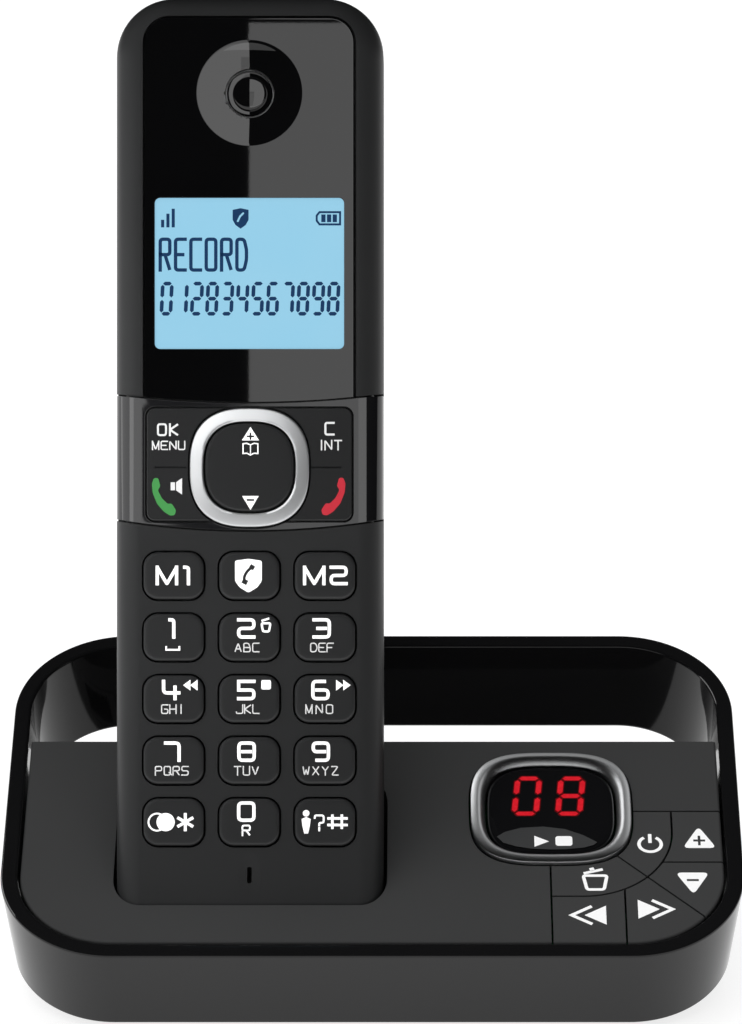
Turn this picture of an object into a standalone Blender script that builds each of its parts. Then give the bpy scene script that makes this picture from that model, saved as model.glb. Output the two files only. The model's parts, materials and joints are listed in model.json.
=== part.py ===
"""A cordless telephone: a handset standing in the pocket of an answering-machine base.

Metres, +Z up, and -Y is the front. The origin lies on the table, below the middle of the telephone.
"""

from math import cos, pi, radians, sin

import bmesh
import bpy
from mathutils import Matrix, Vector

# What all pieces share
GAP = 0.0003
OVERRUN = 0.006
WELD = 0.000001
CORNER_STEPS = 5
SQUIRCLE_STEPS = 32
ROUND_STEPS = 24

# How the two halves stand
DECK_TILT = radians(19.3)
HANDSET_LEAN = radians(22)
HANDSET_PLACE_X = -0.0215
HANDSET_SEAT = 0.0132
HANDSET_HIDDEN = 0.0076

# Loop round the base
RING_WIDTH = 0.1313
RING_DEPTH = 0.0819
RING_CORNER = 0.0204
RING_WALL = 0.003
RING_HEIGHT = 0.0193
RING_TAPER = 0.00176
RING_EDGE = 0.0011
RING_ABOVE_TABLE = 0.001
RING_CORNER_STEPS = 8

# Top plate of the base
DECK_DROP = 0.0005
DECK_THICKNESS = 0.002
DECK_BACK = 0.0539
BOSS_RADIUS = 0.0022
BOSS_MARGIN = 0.0045

# Pocket that the handset stands in
POCKET_SIDE_ROOM = 0.0006
POCKET_FRONT_ROOM = 0.0004
POCKET_BACK_ROOM = 0.0006
POCKET_FLOOR_ROOM = 0.0004
POCKET_WALL = 0.0012

# Tub below the deck
TUB_INSET = 0.0022
TUB_CORNER = 0.0155
TUB_BACK = 0.064
TUB_BACK_CORNER = 0.01
TUB_WALL = 0.0016
TUB_FLOOR_HEIGHT = 0.0012
TUB_FRONT_LIP = 0.0085
TUB_FRONT_LIP_DEPTH = 0.009
SHELF_FALL = radians(38)
SPEAKER_SLOT_LENGTH = 0.022
SPEAKER_SLOT_WIDTH = 0.0016
SPEAKER_SLOT_PITCH = 0.004
SPEAKER_SLOT_COUNT = 6

# Feet
FOOT_RADIUS = 0.005
FOOT_SINK = 0.0008
FOOT_FROM_SIDE = 0.01965
FOOT_PLACE_X = RING_WIDTH / 2 - FOOT_FROM_SIDE
FOOT_PLACES_Y = (0.02, 0.055)

# Message counter and the lens over it
COUNTER_FROM_SIDE = 0.0338
COUNTER_PLACE = (RING_WIDTH / 2 - COUNTER_FROM_SIDE, 0.0364)
BEZEL_HALF_WIDTH = 0.0144
BEZEL_HALF_HEIGHT = 0.0139
BEZEL_BAND = 0.0027
BEZEL_RISE = 0.0011
BEZEL_EDGE = 0.0009
BEZEL_POWER = 3.2
LENS_THICKNESS = 0.0024
LENS_RISE = 0.0001
LENS_EDGE = 0.0006
DIGITS_SHIFT = (-0.00025, 0.0034)
DIGITS_WIDTH = 0.018
DIGITS_HEIGHT = 0.0125

# Base keys: the seams between them, from the loop's right side or in the deck's frame
KEY_ZONE_FROM_SIDE = 0.03415
KEY_ZONE_LEFT = RING_WIDTH / 2 - KEY_ZONE_FROM_SIDE
KEY_ZONE_BACK = 0.0359
INNER_KEYS_FROM_SIDE = 0.01235
INNER_KEYS_RIGHT = RING_WIDTH / 2 - INNER_KEYS_FROM_SIDE
INNER_KEYS_FRONT = 0.0148
INNER_KEYS_CORNER = 0.0162
VOLUME_SEAM = 0.0232
SKIP_SEAM_FROM_SIDE = 0.0212
SKIP_SEAM = RING_WIDTH / 2 - SKIP_SEAM_FROM_SIDE
BASE_KEY_TRAVEL = 0.0007

# Inside the base
BASE_BOARD_DROP = 0.0074
BASE_BOARD_THICKNESS = 0.0016
BASE_BOARD_FROM_POCKET = 0.0034
BASE_BOARD_FROM_SIDE = 0.00915
BASE_BOARD_FRONT = 0.008
BASE_BOARD_BACK = 0.0515
BASE_BOARD_CORNER = 0.011
BASE_SPEAKER_FROM_SIDE = 0.03265
BASE_SPEAKER_PLACE = (RING_WIDTH / 2 - BASE_SPEAKER_FROM_SIDE, 0.036)
BASE_SPEAKER_RADIUS = 0.017
BASE_SPEAKER_HEIGHT = 0.0065
BASE_SPEAKER_MAGNET_RADIUS = 0.0085
BASE_SPEAKER_FRAME_HEIGHT = 0.0025

# Sockets in the rear wall
SOCKET_FLOOR_HEIGHT = 0.005
LINE_SOCKET_FROM_SIDE = 0.02965
LINE_SOCKET_PLACE_X = LINE_SOCKET_FROM_SIDE - RING_WIDTH / 2
LINE_SOCKET_WIDTH = 0.0135
LINE_SOCKET_HEIGHT = 0.0115
POWER_SOCKET_FROM_SIDE = 0.05165
POWER_SOCKET_PLACE_X = POWER_SOCKET_FROM_SIDE - RING_WIDTH / 2
POWER_SOCKET_WIDTH = 0.0115
POWER_SOCKET_HEIGHT = 0.0095
SOCKET_LENGTH = 0.0145
SOCKET_WALL = 0.0018

# Charge contacts
CONTACT_PLACE_X = 0.009
CONTACT_DEPTH = 0.014
PIN_RADIUS = 0.001
PIN_COLLAR_RADIUS = 0.0016
PIN_COLLAR_HEIGHT = 0.0008
PIN_LENGTH = 0.005
PIN_PROUD = 0.0001
CHARGE_PLATE_WIDTH = 0.005
CHARGE_PLATE_HEIGHT = 0.0032
CHARGE_PLATE_THICKNESS = 0.0006

# Handset, in its own frame: X across, Y up from the foot, Z out of the face. What lies along its
# face is a share of its length from the top.
HANDSET_WIDTH = 0.047
HANDSET_LENGTH = 0.1665
HANDSET_DEPTH = 0.024
HANDSET_TOP_CORNER = 0.0103
HANDSET_FOOT_CORNER = 0.0065
HANDSET_FACE_EDGE = 0.0044
HANDSET_BACK_EDGE = 0.006
PARTING_DEPTH = 0.008
FACE_WALL = 0.003
SIDE_WALL = 0.0029
BACK_WALL = 0.0035

# Gloss window, with the dish for the ear
WINDOW_SIDE_MARGIN = 0.0051
WINDOW_HALF_WIDTH = HANDSET_WIDTH / 2 - WINDOW_SIDE_MARGIN
WINDOW_TOP_MARGIN = 0.00366
WINDOW_CORNER = 0.0044
WINDOW_THICKNESS = 0.0013
DISH_FROM_TOP = 0.1015 * HANDSET_LENGTH
DISH_RADIUS = 0.0093
DISH_DEPTH = 0.0015
DISH_WALL = 0.001
DISH_HOLE_RADIUS = 0.0043
EARPIECE_DOME_RADIUS = 0.003
EARPIECE_DOME_TOP = 0.001
EARPIECE_DOME_FALL_SHARES = (0.1, 0.4)
EARPIECE_GROOVE_DEPTH = 0.0021
EARPIECE_CAP_BOTTOM = 0.0029
RECEIVER_RADIUS = 0.0075
LCD_FROM_TOP = 0.29165 * HANDSET_LENGTH
LCD_SIDE_MARGIN = 0.0011
LCD_WIDTH = 2 * (WINDOW_HALF_WIDTH - LCD_SIDE_MARGIN)
LCD_HEIGHT = 0.16757 * HANDSET_LENGTH
LCD_CORNER = 0.001

# Gloss saddle with the function keys: its two edges sag in the middle
COLLAR_WALL = 0.0014
COLLAR_TOP_FROM_TOP = 0.42853 * HANDSET_LENGTH
COLLAR_TOP_SAG = 0.0014
COLLAR_FOOT_FROM_TOP = 0.56216 * HANDSET_LENGTH
COLLAR_FOOT_SAG = 0.0019
COLLAR_ARC_STEPS = 8
FUNCTION_SIDE_MARGIN = 0.0052
FUNCTION_HALF_WIDTH = HANDSET_WIDTH / 2 - FUNCTION_SIDE_MARGIN
FUNCTION_TOP_FROM_TOP = 0.43183 * HANDSET_LENGTH
FUNCTION_FOOT_FROM_TOP = 0.55405 * HANDSET_LENGTH
FUNCTION_CORNER = 0.00175
FUNCTION_PLATE_RISE = 0.0001
FUNCTION_PLATE_THICKNESS = 0.0011
FUNCTION_HINGE_DEPTH = 0.0008
NAVIGATION_FROM_TOP = 0.4961 * HANDSET_LENGTH
NAVIGATION_HALF_WIDTH = 0.2234 * HANDSET_WIDTH
NAVIGATION_HALF_HEIGHT = 0.06276 * HANDSET_LENGTH
NAVIGATION_BAND = 0.0024
NAVIGATION_POWER = 2.6
NAVIGATION_RISE = 0.0007
NAVIGATION_EDGE = 0.0006
NAVIGATION_KEY_RISE = 0.0004
NAVIGATION_KEY_THICKNESS = 0.0014

# Keypad
KEY_SIDE_MARGIN = 0.00494
KEY_SPACING = 0.00266
KEY_WIDTH = (HANDSET_WIDTH - 2 * KEY_SIDE_MARGIN - 2 * KEY_SPACING) / 3
KEY_HEIGHT = 0.04985 * HANDSET_LENGTH
KEY_CORNER = 0.0026
KEY_EDGE = 0.0004
KEY_RISE = 0.0006
KEY_PITCH_X = KEY_WIDTH + KEY_SPACING
KEY_PITCH_Y = 0.06486 * HANDSET_LENGTH
KEY_TOP_ROW_FROM_TOP = 0.61021 * HANDSET_LENGTH
KEY_TRAVEL = 0.0009
KEY_FLANGE = 0.0005
KEY_FLANGE_THICKNESS = 0.0006
MAT_THICKNESS = 0.0006
MAT_MARGIN = 0.001

KEY_NAMES = (
    ("key_memory_1", "key_shield", "key_memory_2"),
    ("key_1", "key_2", "key_3"),
    ("key_4", "key_5", "key_6"),
    ("key_7", "key_8", "key_9"),
    ("key_star", "key_0", "key_hash"),
)

# Microphone
MICROPHONE_FROM_TOP = 0.92553 * HANDSET_LENGTH
MICROPHONE_SLOT_WIDTH = 0.0008
MICROPHONE_SLOT_HEIGHT = 0.0029
MICROPHONE_RADIUS = 0.003

# Inside the handset
BOARD_DEPTH = 0.0061
BOARD_THICKNESS = 0.0012
BOARD_MARGIN = 0.0007
HANDSFREE_FROM_TOP = 0.21622 * HANDSET_LENGTH
HANDSFREE_RADIUS = 0.01
HANDSFREE_THICKNESS = 0.0052
HANDSFREE_SLOT_LENGTH = 0.012
HANDSFREE_SLOT_WIDTH = 0.0012
HANDSFREE_SLOT_PITCH = 0.003
HANDSFREE_SLOT_COUNT = 5

# Battery compartment and its door
CELL_RADIUS = 0.00525
CELL_LENGTH = 0.0445
CELL_SPACING = 0.0112
CELL_NUB_RADIUS = 0.0019
CELL_NUB_LENGTH = 0.001
COMPARTMENT_FOOT = 0.046
COMPARTMENT_WALL = 0.0014
COMPARTMENT_FLOOR = 0.0009
LINK_THICKNESS = 0.0006
LINK_HEIGHT = 0.006
DOOR_HALF_WIDTH = 0.015
DOOR_FOOT = 0.044
DOOR_LENGTH = 0.058
DOOR_THICKNESS = 0.0016
DOOR_CORNER = 0.002
DOOR_TRAVEL = 0.008
DOOR_RIDGE_WIDTH = 0.012
DOOR_RIDGE_HEIGHT = 0.0009
DOOR_RIDGE_PITCH = 0.0022
DOOR_RIDGE_COUNT = 3
DOOR_RIDGE_RISE = 0.0005

# Colour, roughness and metallic value of each finish
FINISHES = {
    "black_gloss": ((0.012, 0.012, 0.013), 0.12, 0),
    "black_matt": ((0.035, 0.036, 0.038), 0.5, 0),
    "key_grey": ((0.03, 0.031, 0.033), 0.45, 0),
    "chrome": ((0.62, 0.63, 0.65), 0.16, 1),
    "lens_smoke": ((0.006, 0.006, 0.007), 0.06, 0),
    "display_blue": ((0.3, 0.61, 0.81), 0.35, 0),
    "digit_red": ((0.5, 0.01, 0.02), 0.4, 0),
    "board_green": ((0.02, 0.12, 0.05), 0.45, 0),
    "steel": ((0.5, 0.5, 0.5), 0.35, 1),
    "gold": ((0.8, 0.6, 0.25), 0.25, 1),
    "cell_wrap": ((0.08, 0.25, 0.12), 0.4, 0),
    "rubber": ((0.03, 0.03, 0.03), 0.85, 0),
}


def clear_scene():
    for obj in list(bpy.data.objects):
        bpy.data.objects.remove(obj)


def collection(name):
    made = bpy.data.collections.new(name)
    bpy.context.scene.collection.children.link(made)
    return made


def finish(name):
    found = bpy.data.materials.get(name)
    if found:
        return found
    colour, roughness, metallic = FINISHES[name]
    made = bpy.data.materials.new(name)
    made.use_nodes = True
    shader = made.node_tree.nodes["Principled BSDF"]
    shader.inputs["Base Color"].default_value = (*colour, 1)
    shader.inputs["Roughness"].default_value = roughness
    shader.inputs["Metallic"].default_value = metallic
    return made


def frame(name, origin, turn):
    """An empty whose X lies across the telephone, turned about X."""
    made = bpy.data.objects.new(name, None)
    bpy.context.scene.collection.objects.link(made)
    made.matrix_world = Matrix.Translation(origin) @ Matrix.Rotation(turn, 4, "X")
    return made


def piece(name, mesh, parent, place, finish_name):
    mesh.name = name
    mesh.shade_smooth()
    mesh.set_sharp_from_angle(angle=radians(35))
    mesh.materials.clear()
    mesh.materials.append(finish(finish_name))
    made = bpy.data.objects.new(name, mesh)
    pieces.objects.link(made)
    made.parent = parent
    made.location = place
    return made


def cutter(name, mesh, parent, place=(0, 0, 0)):
    made = bpy.data.objects.new(name, mesh)
    cutters.objects.link(made)
    made.parent = parent
    made.location = place
    made.hide_render = True
    made.display_type = "WIRE"
    return made


def boolean(target, operation, tool):
    modifier = target.modifiers.new(tool.name, "BOOLEAN")
    modifier.operation = operation
    modifier.object = tool
    modifier.solver = "EXACT"


def cut(target, *tools):
    for tool in tools:
        boolean(target, "DIFFERENCE", tool)


def join(target, *tools):
    for tool in tools:
        boolean(target, "UNION", tool)


def keep_inside(target, *tools):
    for tool in tools:
        boolean(target, "INTERSECT", tool)


def arc(centre, radius, start, end, steps):
    """Points on a circle from one angle to another, both ends included."""
    turns = [start + (end - start) * step / steps for step in range(steps + 1)]
    return [(centre[0] + radius * cos(turn), centre[1] + radius * sin(turn)) for turn in turns]


def rounded_rectangle(left, right, foot, top, radius, foot_radius=None, steps=CORNER_STEPS):
    """The outline runs anticlockwise. foot_radius rounds the two lower corners."""
    foot_radius = radius if foot_radius is None else foot_radius
    corners = (
        (left, foot, foot_radius, 1, 1, pi),
        (right, foot, foot_radius, -1, 1, 1.5 * pi),
        (right, top, radius, -1, -1, 0),
        (left, top, radius, 1, -1, 0.5 * pi),
    )
    outline = []
    for x, y, round_by, inward_x, inward_y, start in corners:
        if not round_by:
            outline.append((x, y))
            continue
        centre = (x + inward_x * round_by, y + inward_y * round_by)
        outline += arc(centre, round_by, start, start + 0.5 * pi, steps)
    return outline


def superellipse(half_width, half_height, power, steps):
    outline = []
    for step in range(steps):
        turn = 2 * pi * step / steps
        x, y = cos(turn), sin(turn)
        reach = (abs(x) ** power + abs(y) ** power) ** (-1 / power)
        outline.append((half_width * reach * x, half_height * reach * y))
    return outline


def inset(outline, distance):
    """The anticlockwise outline moved inwards, each side by the same distance."""
    moved = []
    for index, here in enumerate(outline):
        before = Vector(here) - Vector(outline[index - 1])
        after = Vector(outline[(index + 1) % len(outline)]) - Vector(here)
        first = Vector((-before.y, before.x)).normalized()
        second = Vector((-after.y, after.x)).normalized()
        shift = (first + second) * distance / (1 + first.dot(second))
        moved.append((here[0] + shift.x, here[1] + shift.y))
    return moved


def mesh_of_curve(curve, bevel=None):
    """The mesh that a curve makes, with its caps welded to its sides."""
    guide = bpy.data.objects.new("guide", curve)
    cutters.objects.link(guide)
    graph = bpy.context.evaluated_depsgraph_get()
    mesh = bpy.data.meshes.new_from_object(guide.evaluated_get(graph))
    bpy.data.objects.remove(guide)
    if bevel:
        bpy.data.objects.remove(bevel)
    bm = bmesh.new()
    bm.from_mesh(mesh)
    bmesh.ops.remove_doubles(bm, verts=bm.verts, dist=WELD)
    bmesh.ops.dissolve_limit(bm, angle_limit=radians(0.5), verts=bm.verts, edges=bm.edges)
    bmesh.ops.recalc_face_normals(bm, faces=bm.faces)
    bm.to_mesh(mesh)
    bm.free()
    return mesh


def poly_curve(outlines):
    curve = bpy.data.curves.new("outline", "CURVE")
    curve.dimensions = "2D"
    for outline in outlines:
        spline = curve.splines.new("POLY")
        spline.points.add(len(outline) - 1)
        for point, (x, y) in zip(spline.points, outline):
            point.co = (x, y, 0, 1)
        spline.use_cyclic_u = True
    return curve


def rim_edges(bm, height):
    level = [edge for edge in bm.edges if all(abs(v.co.z - height) < WELD for v in edge.verts)]
    return [edge for edge in level if edge.calc_face_angle(0) > radians(45)]


def slab(outlines, low, high, round_top=0, round_low=0, steps=2):
    """Outlines in XY, filled from one height to the other. A second outline is a hole."""
    if isinstance(outlines[0][0], float):
        outlines = [outlines]
    curve = poly_curve(outlines)
    curve.fill_mode = "BOTH"
    curve.extrude = (high - low) / 2
    mesh = mesh_of_curve(curve)
    bm = bmesh.new()
    bm.from_mesh(mesh)
    bmesh.ops.translate(bm, verts=bm.verts, vec=(0, 0, (low + high) / 2))
    for height, width in ((high, round_top), (low, round_low)):
        if width:
            bmesh.ops.bevel(
                bm,
                geom=rim_edges(bm, height),
                offset=width,
                segments=steps,
                profile=0.5,
                affect="EDGES",
            )
    bm.to_mesh(mesh)
    bm.free()
    return mesh


def box(left, right, front, back, low, high):
    bm = bmesh.new()
    bmesh.ops.create_cube(bm, size=1)
    bmesh.ops.scale(bm, verts=bm.verts, vec=(right - left, back - front, high - low))
    middle = ((left + right) / 2, (front + back) / 2, (low + high) / 2)
    bmesh.ops.translate(bm, verts=bm.verts, vec=middle)
    mesh = bpy.data.meshes.new("box")
    bm.to_mesh(mesh)
    bm.free()
    return mesh


def cylinder(radius, low, high, steps=ROUND_STEPS):
    bm = bmesh.new()
    bmesh.ops.create_cone(
        bm, cap_ends=True, segments=steps, radius1=radius, radius2=radius, depth=high - low
    )
    bmesh.ops.translate(bm, verts=bm.verts, vec=(0, 0, (low + high) / 2))
    mesh = bpy.data.meshes.new("cylinder")
    bm.to_mesh(mesh)
    bm.free()
    return mesh


def side_by_side(mesh, places):
    """Separate copies of one mesh, for a cutter that makes many holes."""
    bm = bmesh.new()
    for place in places:
        before = len(bm.verts)
        bm.from_mesh(mesh)
        bm.verts.ensure_lookup_table()
        bmesh.ops.translate(bm, verts=bm.verts[before:], vec=place)
    made = bpy.data.meshes.new("copies")
    bm.to_mesh(made)
    bm.free()
    return made


def turn_profile(made, profile, steps=ROUND_STEPS):
    """Turns the (radius, height) profile about the object's Z with a Screw modifier."""
    bm = bmesh.new()
    verts = [bm.verts.new((radius, 0, height)) for radius, height in profile]
    for first, second in zip(verts, verts[1:]):
        bm.edges.new((first, second))
    bm.to_mesh(made.data)
    bm.free()
    modifier = made.modifiers.new("turned", "SCREW")
    modifier.steps = steps
    modifier.render_steps = steps
    modifier.use_merge_vertices = True
    modifier.merge_threshold = WELD


def turned_piece(name, profile, parent, place, finish_name, steps=ROUND_STEPS):
    made = piece(name, bpy.data.meshes.new(name), parent, place, finish_name)
    turn_profile(made, profile, steps)
    return made


def turned_cutter(name, profile, parent, place, steps=ROUND_STEPS):
    made = cutter(name, bpy.data.meshes.new(name), parent, place)
    turn_profile(made, profile, steps)
    return made


def turned_disc(radius, low, high):
    """The profile of a plain disc, down its outer side."""
    return [(0, high), (radius, high), (radius, low), (0, low)]


def rows(count, pitch):
    """Places about zero, a pitch apart."""
    return [(index - (count - 1) / 2) * pitch for index in range(count)]


# Frames

def rim_height():
    """Height of the loop's upper front edge, which leaves its lowest edge clear of the table."""
    band = RING_HEIGHT * cos(DECK_TILT) - RING_TAPER * sin(DECK_TILT)
    return RING_ABOVE_TABLE + band


def rim_place_y():
    """Y of the loop's upper front edge, with the middle of the whole telephone at zero."""
    front = RING_EDGE * (cos(DECK_TILT) + sin(DECK_TILT) - 1)
    seat = HANDSET_SEAT * cos(DECK_TILT) + DECK_DROP * sin(DECK_TILT)
    up = HANDSET_LENGTH - HANDSET_BACK_EDGE - HANDSET_HIDDEN
    back = seat + up * sin(HANDSET_LEAN) + HANDSET_BACK_EDGE
    back += (HANDSET_DEPTH - HANDSET_BACK_EDGE) * cos(HANDSET_LEAN)
    return -(front + back) / 2


def make_frames():
    """Deck, handset, pocket and ground frames. The pocket's Z runs up the handset."""
    rim = Vector((0, rim_place_y(), rim_height()))
    deck = frame("deck_frame", rim, DECK_TILT)
    seat = deck.matrix_world @ Vector((HANDSET_PLACE_X, HANDSET_SEAT, -DECK_DROP))
    up = Vector((0, sin(HANDSET_LEAN), cos(HANDSET_LEAN)))
    foot = seat - HANDSET_HIDDEN * up
    handset = frame("handset_frame", foot, pi / 2 - HANDSET_LEAN)
    pocket = frame("pocket_frame", foot, -HANDSET_LEAN)
    ground = frame("ground_frame", (0, rim.y, 0), 0)
    return deck, handset, pocket, ground


# Base: loop

def ring_outline(inward):
    """The loop's outline in the deck frame, a distance inside its outer upper edge."""
    half = RING_WIDTH / 2 - inward
    corner = RING_CORNER - inward
    return rounded_rectangle(
        -half, half, inward, RING_DEPTH - inward, corner, steps=RING_CORNER_STEPS
    )


def make_ring():
    """The section of the loop, swept along its outline."""
    section = []
    for x, y in rounded_rectangle(0, RING_WALL, -RING_HEIGHT, 0, RING_EDGE, steps=3):
        section.append((x - RING_TAPER * y / RING_HEIGHT, y))
    bevel = bpy.data.objects.new("section", poly_curve([section]))
    cutters.objects.link(bevel)
    path = poly_curve([ring_outline(0)])
    path.bevel_mode = "OBJECT"
    path.bevel_object = bevel
    piece("base_ring", mesh_of_curve(path, bevel), deck, (0, 0, 0), "black_gloss")


# Base: deck

def deck_bottom():
    return -(DECK_DROP + DECK_THICKNESS)


def deck_inset():
    """How far the deck's edge lies inside the loop's outer edge, clear of its sloping inner wall."""
    return RING_WALL + GAP - RING_TAPER * deck_bottom() / RING_HEIGHT


def deck_outline():
    half = RING_WIDTH / 2 - deck_inset()
    corner = RING_CORNER - deck_inset()
    return rounded_rectangle(
        -half, half, deck_inset(), DECK_BACK, 0, corner, steps=RING_CORNER_STEPS
    )


def bezel_outline(outward):
    shape = superellipse(
        BEZEL_HALF_WIDTH + outward, BEZEL_HALF_HEIGHT + outward, BEZEL_POWER, SQUIRCLE_STEPS
    )
    return shape


def inner_keys_outline(outward):
    """The zone of the power and delete keys, which runs on under the bezel."""
    return rounded_rectangle(
        KEY_ZONE_LEFT - KEY_ZONE_BACK,
        INNER_KEYS_RIGHT + outward,
        INNER_KEYS_FRONT - outward,
        INNER_KEYS_RIGHT + KEY_ZONE_BACK,
        0,
        INNER_KEYS_CORNER + outward,
        steps=RING_CORNER_STEPS,
    )


def pocket_outline(outward):
    """Across and depth of the pocket in the pocket frame."""
    half = HANDSET_WIDTH / 2 + POCKET_SIDE_ROOM + outward
    return rounded_rectangle(
        -half,
        half,
        -POCKET_FRONT_ROOM - outward,
        HANDSET_DEPTH + POCKET_BACK_ROOM + outward,
        HANDSET_BACK_EDGE + outward,
        HANDSET_FACE_EDGE + POCKET_FRONT_ROOM + outward,
        steps=6,
    )


def board_sides():
    """Left and right edges of the base's circuit board, clear of the pocket and the loop."""
    pocket_side = HANDSET_PLACE_X + HANDSET_WIDTH / 2 + POCKET_SIDE_ROOM + POCKET_WALL
    return pocket_side + BASE_BOARD_FROM_POCKET, RING_WIDTH / 2 - BASE_BOARD_FROM_SIDE


def make_deck():
    """Top plate, pocket and bosses in one piece, with holes for the bezel, keys and pins."""
    plate = slab(deck_outline(), deck_bottom(), -DECK_DROP)
    made = piece("base_deck", plate, deck, (0, 0, 0), "black_matt")

    plate_middle = -DECK_DROP - DECK_THICKNESS / 2
    above = box(-RING_WIDTH, RING_WIDTH, -RING_WIDTH, RING_WIDTH, plate_middle, RING_WIDTH)
    above_deck = cutter("above_plate", above, deck)
    floor = -POCKET_FLOOR_ROOM - POCKET_WALL
    shell = slab(pocket_outline(POCKET_WALL), floor, HANDSET_LENGTH / 2)
    pocket_shell = cutter("pocket_shell", shell, pocket)
    cut(pocket_shell, above_deck)
    hollow = slab(pocket_outline(0), -POCKET_FLOOR_ROOM, HANDSET_LENGTH / 2 + OVERRUN)
    pocket_hollow = cutter("pocket_hollow", hollow, pocket)
    join(made, pocket_shell)
    cut(made, pocket_hollow)

    bottom = -BASE_BOARD_DROP + GAP
    left, right = board_sides()
    left += BOSS_MARGIN
    right -= BOSS_MARGIN
    front = BASE_BOARD_FRONT + BOSS_MARGIN
    back = BASE_BOARD_BACK - BOSS_MARGIN
    post = cylinder(BOSS_RADIUS, bottom, plate_middle, steps=12)
    for index, (x, y) in enumerate(((left, front), (left, back), (right, back))):
        join(made, cutter(f"boss_{index + 1}", post, deck, (x, y, 0)))

    seam = GAP / 2
    keys_hole = box(
        KEY_ZONE_LEFT - seam,
        RING_WIDTH,
        -RING_DEPTH,
        KEY_ZONE_BACK + seam,
        deck_bottom() - OVERRUN,
        OVERRUN,
    )
    hole = slab(bezel_outline(GAP), deck_bottom() - OVERRUN, OVERRUN)
    cut(made, cutter("keys_hole", keys_hole, deck))
    cut(made, cutter("bezel_hole", hole, deck, (*COUNTER_PLACE, 0)))

    bore = cylinder(PIN_RADIUS + GAP, floor - OVERRUN, OVERRUN, steps=12)
    for side in (-1, 1):
        place = (side * CONTACT_PLACE_X, CONTACT_DEPTH, 0)
        cut(made, cutter(f"pin_hole_{side}", bore, pocket, place))


# Base: tub below the deck

def shelf_box(lowered):
    """What lies above the tub's sloping rear roof, lowered by a wall for the hollow inside."""
    roof = frame("roof_frame", (0, 0, 0), -SHELF_FALL)
    start = deck.matrix_world @ Vector((0, DECK_BACK, deck_bottom() - GAP))
    roof.location = start
    shape = box(-RING_WIDTH, RING_WIDTH, -OVERRUN, RING_DEPTH, -lowered, RING_DEPTH)
    return cutter("above_shelf", shape, roof)


def tub_body(name, inward, low, making):
    """The tub's outer shape, or its hollow, with every wall moved inwards."""
    half = RING_WIDTH / 2 - RING_WALL - TUB_INSET - inward
    front = RING_TAPER + RING_WALL + GAP + inward
    corner = TUB_CORNER - inward
    side_walls = rounded_rectangle(
        -half, half, front, RING_DEPTH, 0, corner, steps=RING_CORNER_STEPS
    )
    top = deck_bottom() - GAP
    if inward:
        top += OVERRUN
    made = making(slab(side_walls, -RING_DEPTH, top))
    back_corner = TUB_BACK_CORNER - inward
    footprint = rounded_rectangle(
        -half, half, -RING_DEPTH, TUB_BACK - inward, back_corner, 0
    )
    keep_inside(made, cutter(f"{name}_footprint", slab(footprint, low, RING_DEPTH), ground))
    cut(made, shelf_box(inward))
    return made


def rear_wall_box(width, height, place_x, room):
    """The hole in the rear wall for a socket, with room all round."""
    half = width / 2 + room
    low = SOCKET_FLOOR_HEIGHT - room
    high = SOCKET_FLOOR_HEIGHT + height + room
    front = TUB_BACK - TUB_WALL - OVERRUN
    return box(place_x - half, place_x + half, front, TUB_BACK + OVERRUN, low, high)


def make_tub():
    made = tub_body(
        "tub",
        0,
        TUB_FLOOR_HEIGHT,
        lambda mesh: piece("base_lower_housing", mesh, deck, (0, 0, 0), "black_matt"),
    )
    hollow = tub_body(
        "hollow",
        TUB_WALL,
        TUB_FLOOR_HEIGHT + TUB_WALL,
        lambda mesh: cutter("tub_hollow", mesh, deck),
    )
    cut(made, hollow)
    lip = box(
        -RING_WIDTH, RING_WIDTH, -OVERRUN, TUB_FRONT_LIP_DEPTH, -TUB_FRONT_LIP, OVERRUN
    )
    cut(made, cutter("front_lip", lip, deck))
    under_keys = box(
        KEY_ZONE_LEFT - GAP,
        RING_WIDTH,
        0,
        KEY_ZONE_BACK + GAP,
        deck_bottom() - BASE_KEY_TRAVEL - GAP,
        OVERRUN,
    )
    cut(made, cutter("under_keys", under_keys, deck))
    for name, width, height, place_x in (
        ("line_hole", LINE_SOCKET_WIDTH, LINE_SOCKET_HEIGHT, LINE_SOCKET_PLACE_X),
        ("power_hole", POWER_SOCKET_WIDTH, POWER_SOCKET_HEIGHT, POWER_SOCKET_PLACE_X),
    ):
        cut(made, cutter(name, rear_wall_box(width, height, place_x, GAP), ground))
    x, y = BASE_SPEAKER_PLACE
    slot = box(
        -SPEAKER_SLOT_LENGTH / 2,
        SPEAKER_SLOT_LENGTH / 2,
        -SPEAKER_SLOT_WIDTH / 2,
        SPEAKER_SLOT_WIDTH / 2,
        -TUB_FLOOR_HEIGHT,
        TUB_FLOOR_HEIGHT + TUB_WALL + GAP / 2,
    )
    places = [(x, y + row, 0) for row in rows(SPEAKER_SLOT_COUNT, SPEAKER_SLOT_PITCH)]
    cut(made, cutter("speaker_slots", side_by_side(slot, places), ground))
    seat = cylinder(FOOT_RADIUS + GAP, -OVERRUN, TUB_FLOOR_HEIGHT + FOOT_SINK)
    places = [(side * FOOT_PLACE_X, y, 0) for y in FOOT_PLACES_Y for side in (-1, 1)]
    cut(made, cutter("foot_seats", side_by_side(seat, places), ground))
    foot = cylinder(FOOT_RADIUS, 0, TUB_FLOOR_HEIGHT + FOOT_SINK - GAP)
    for index, place in enumerate(places):
        piece(f"rubber_foot_{index + 1}", foot.copy(), ground, place, "rubber")


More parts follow.
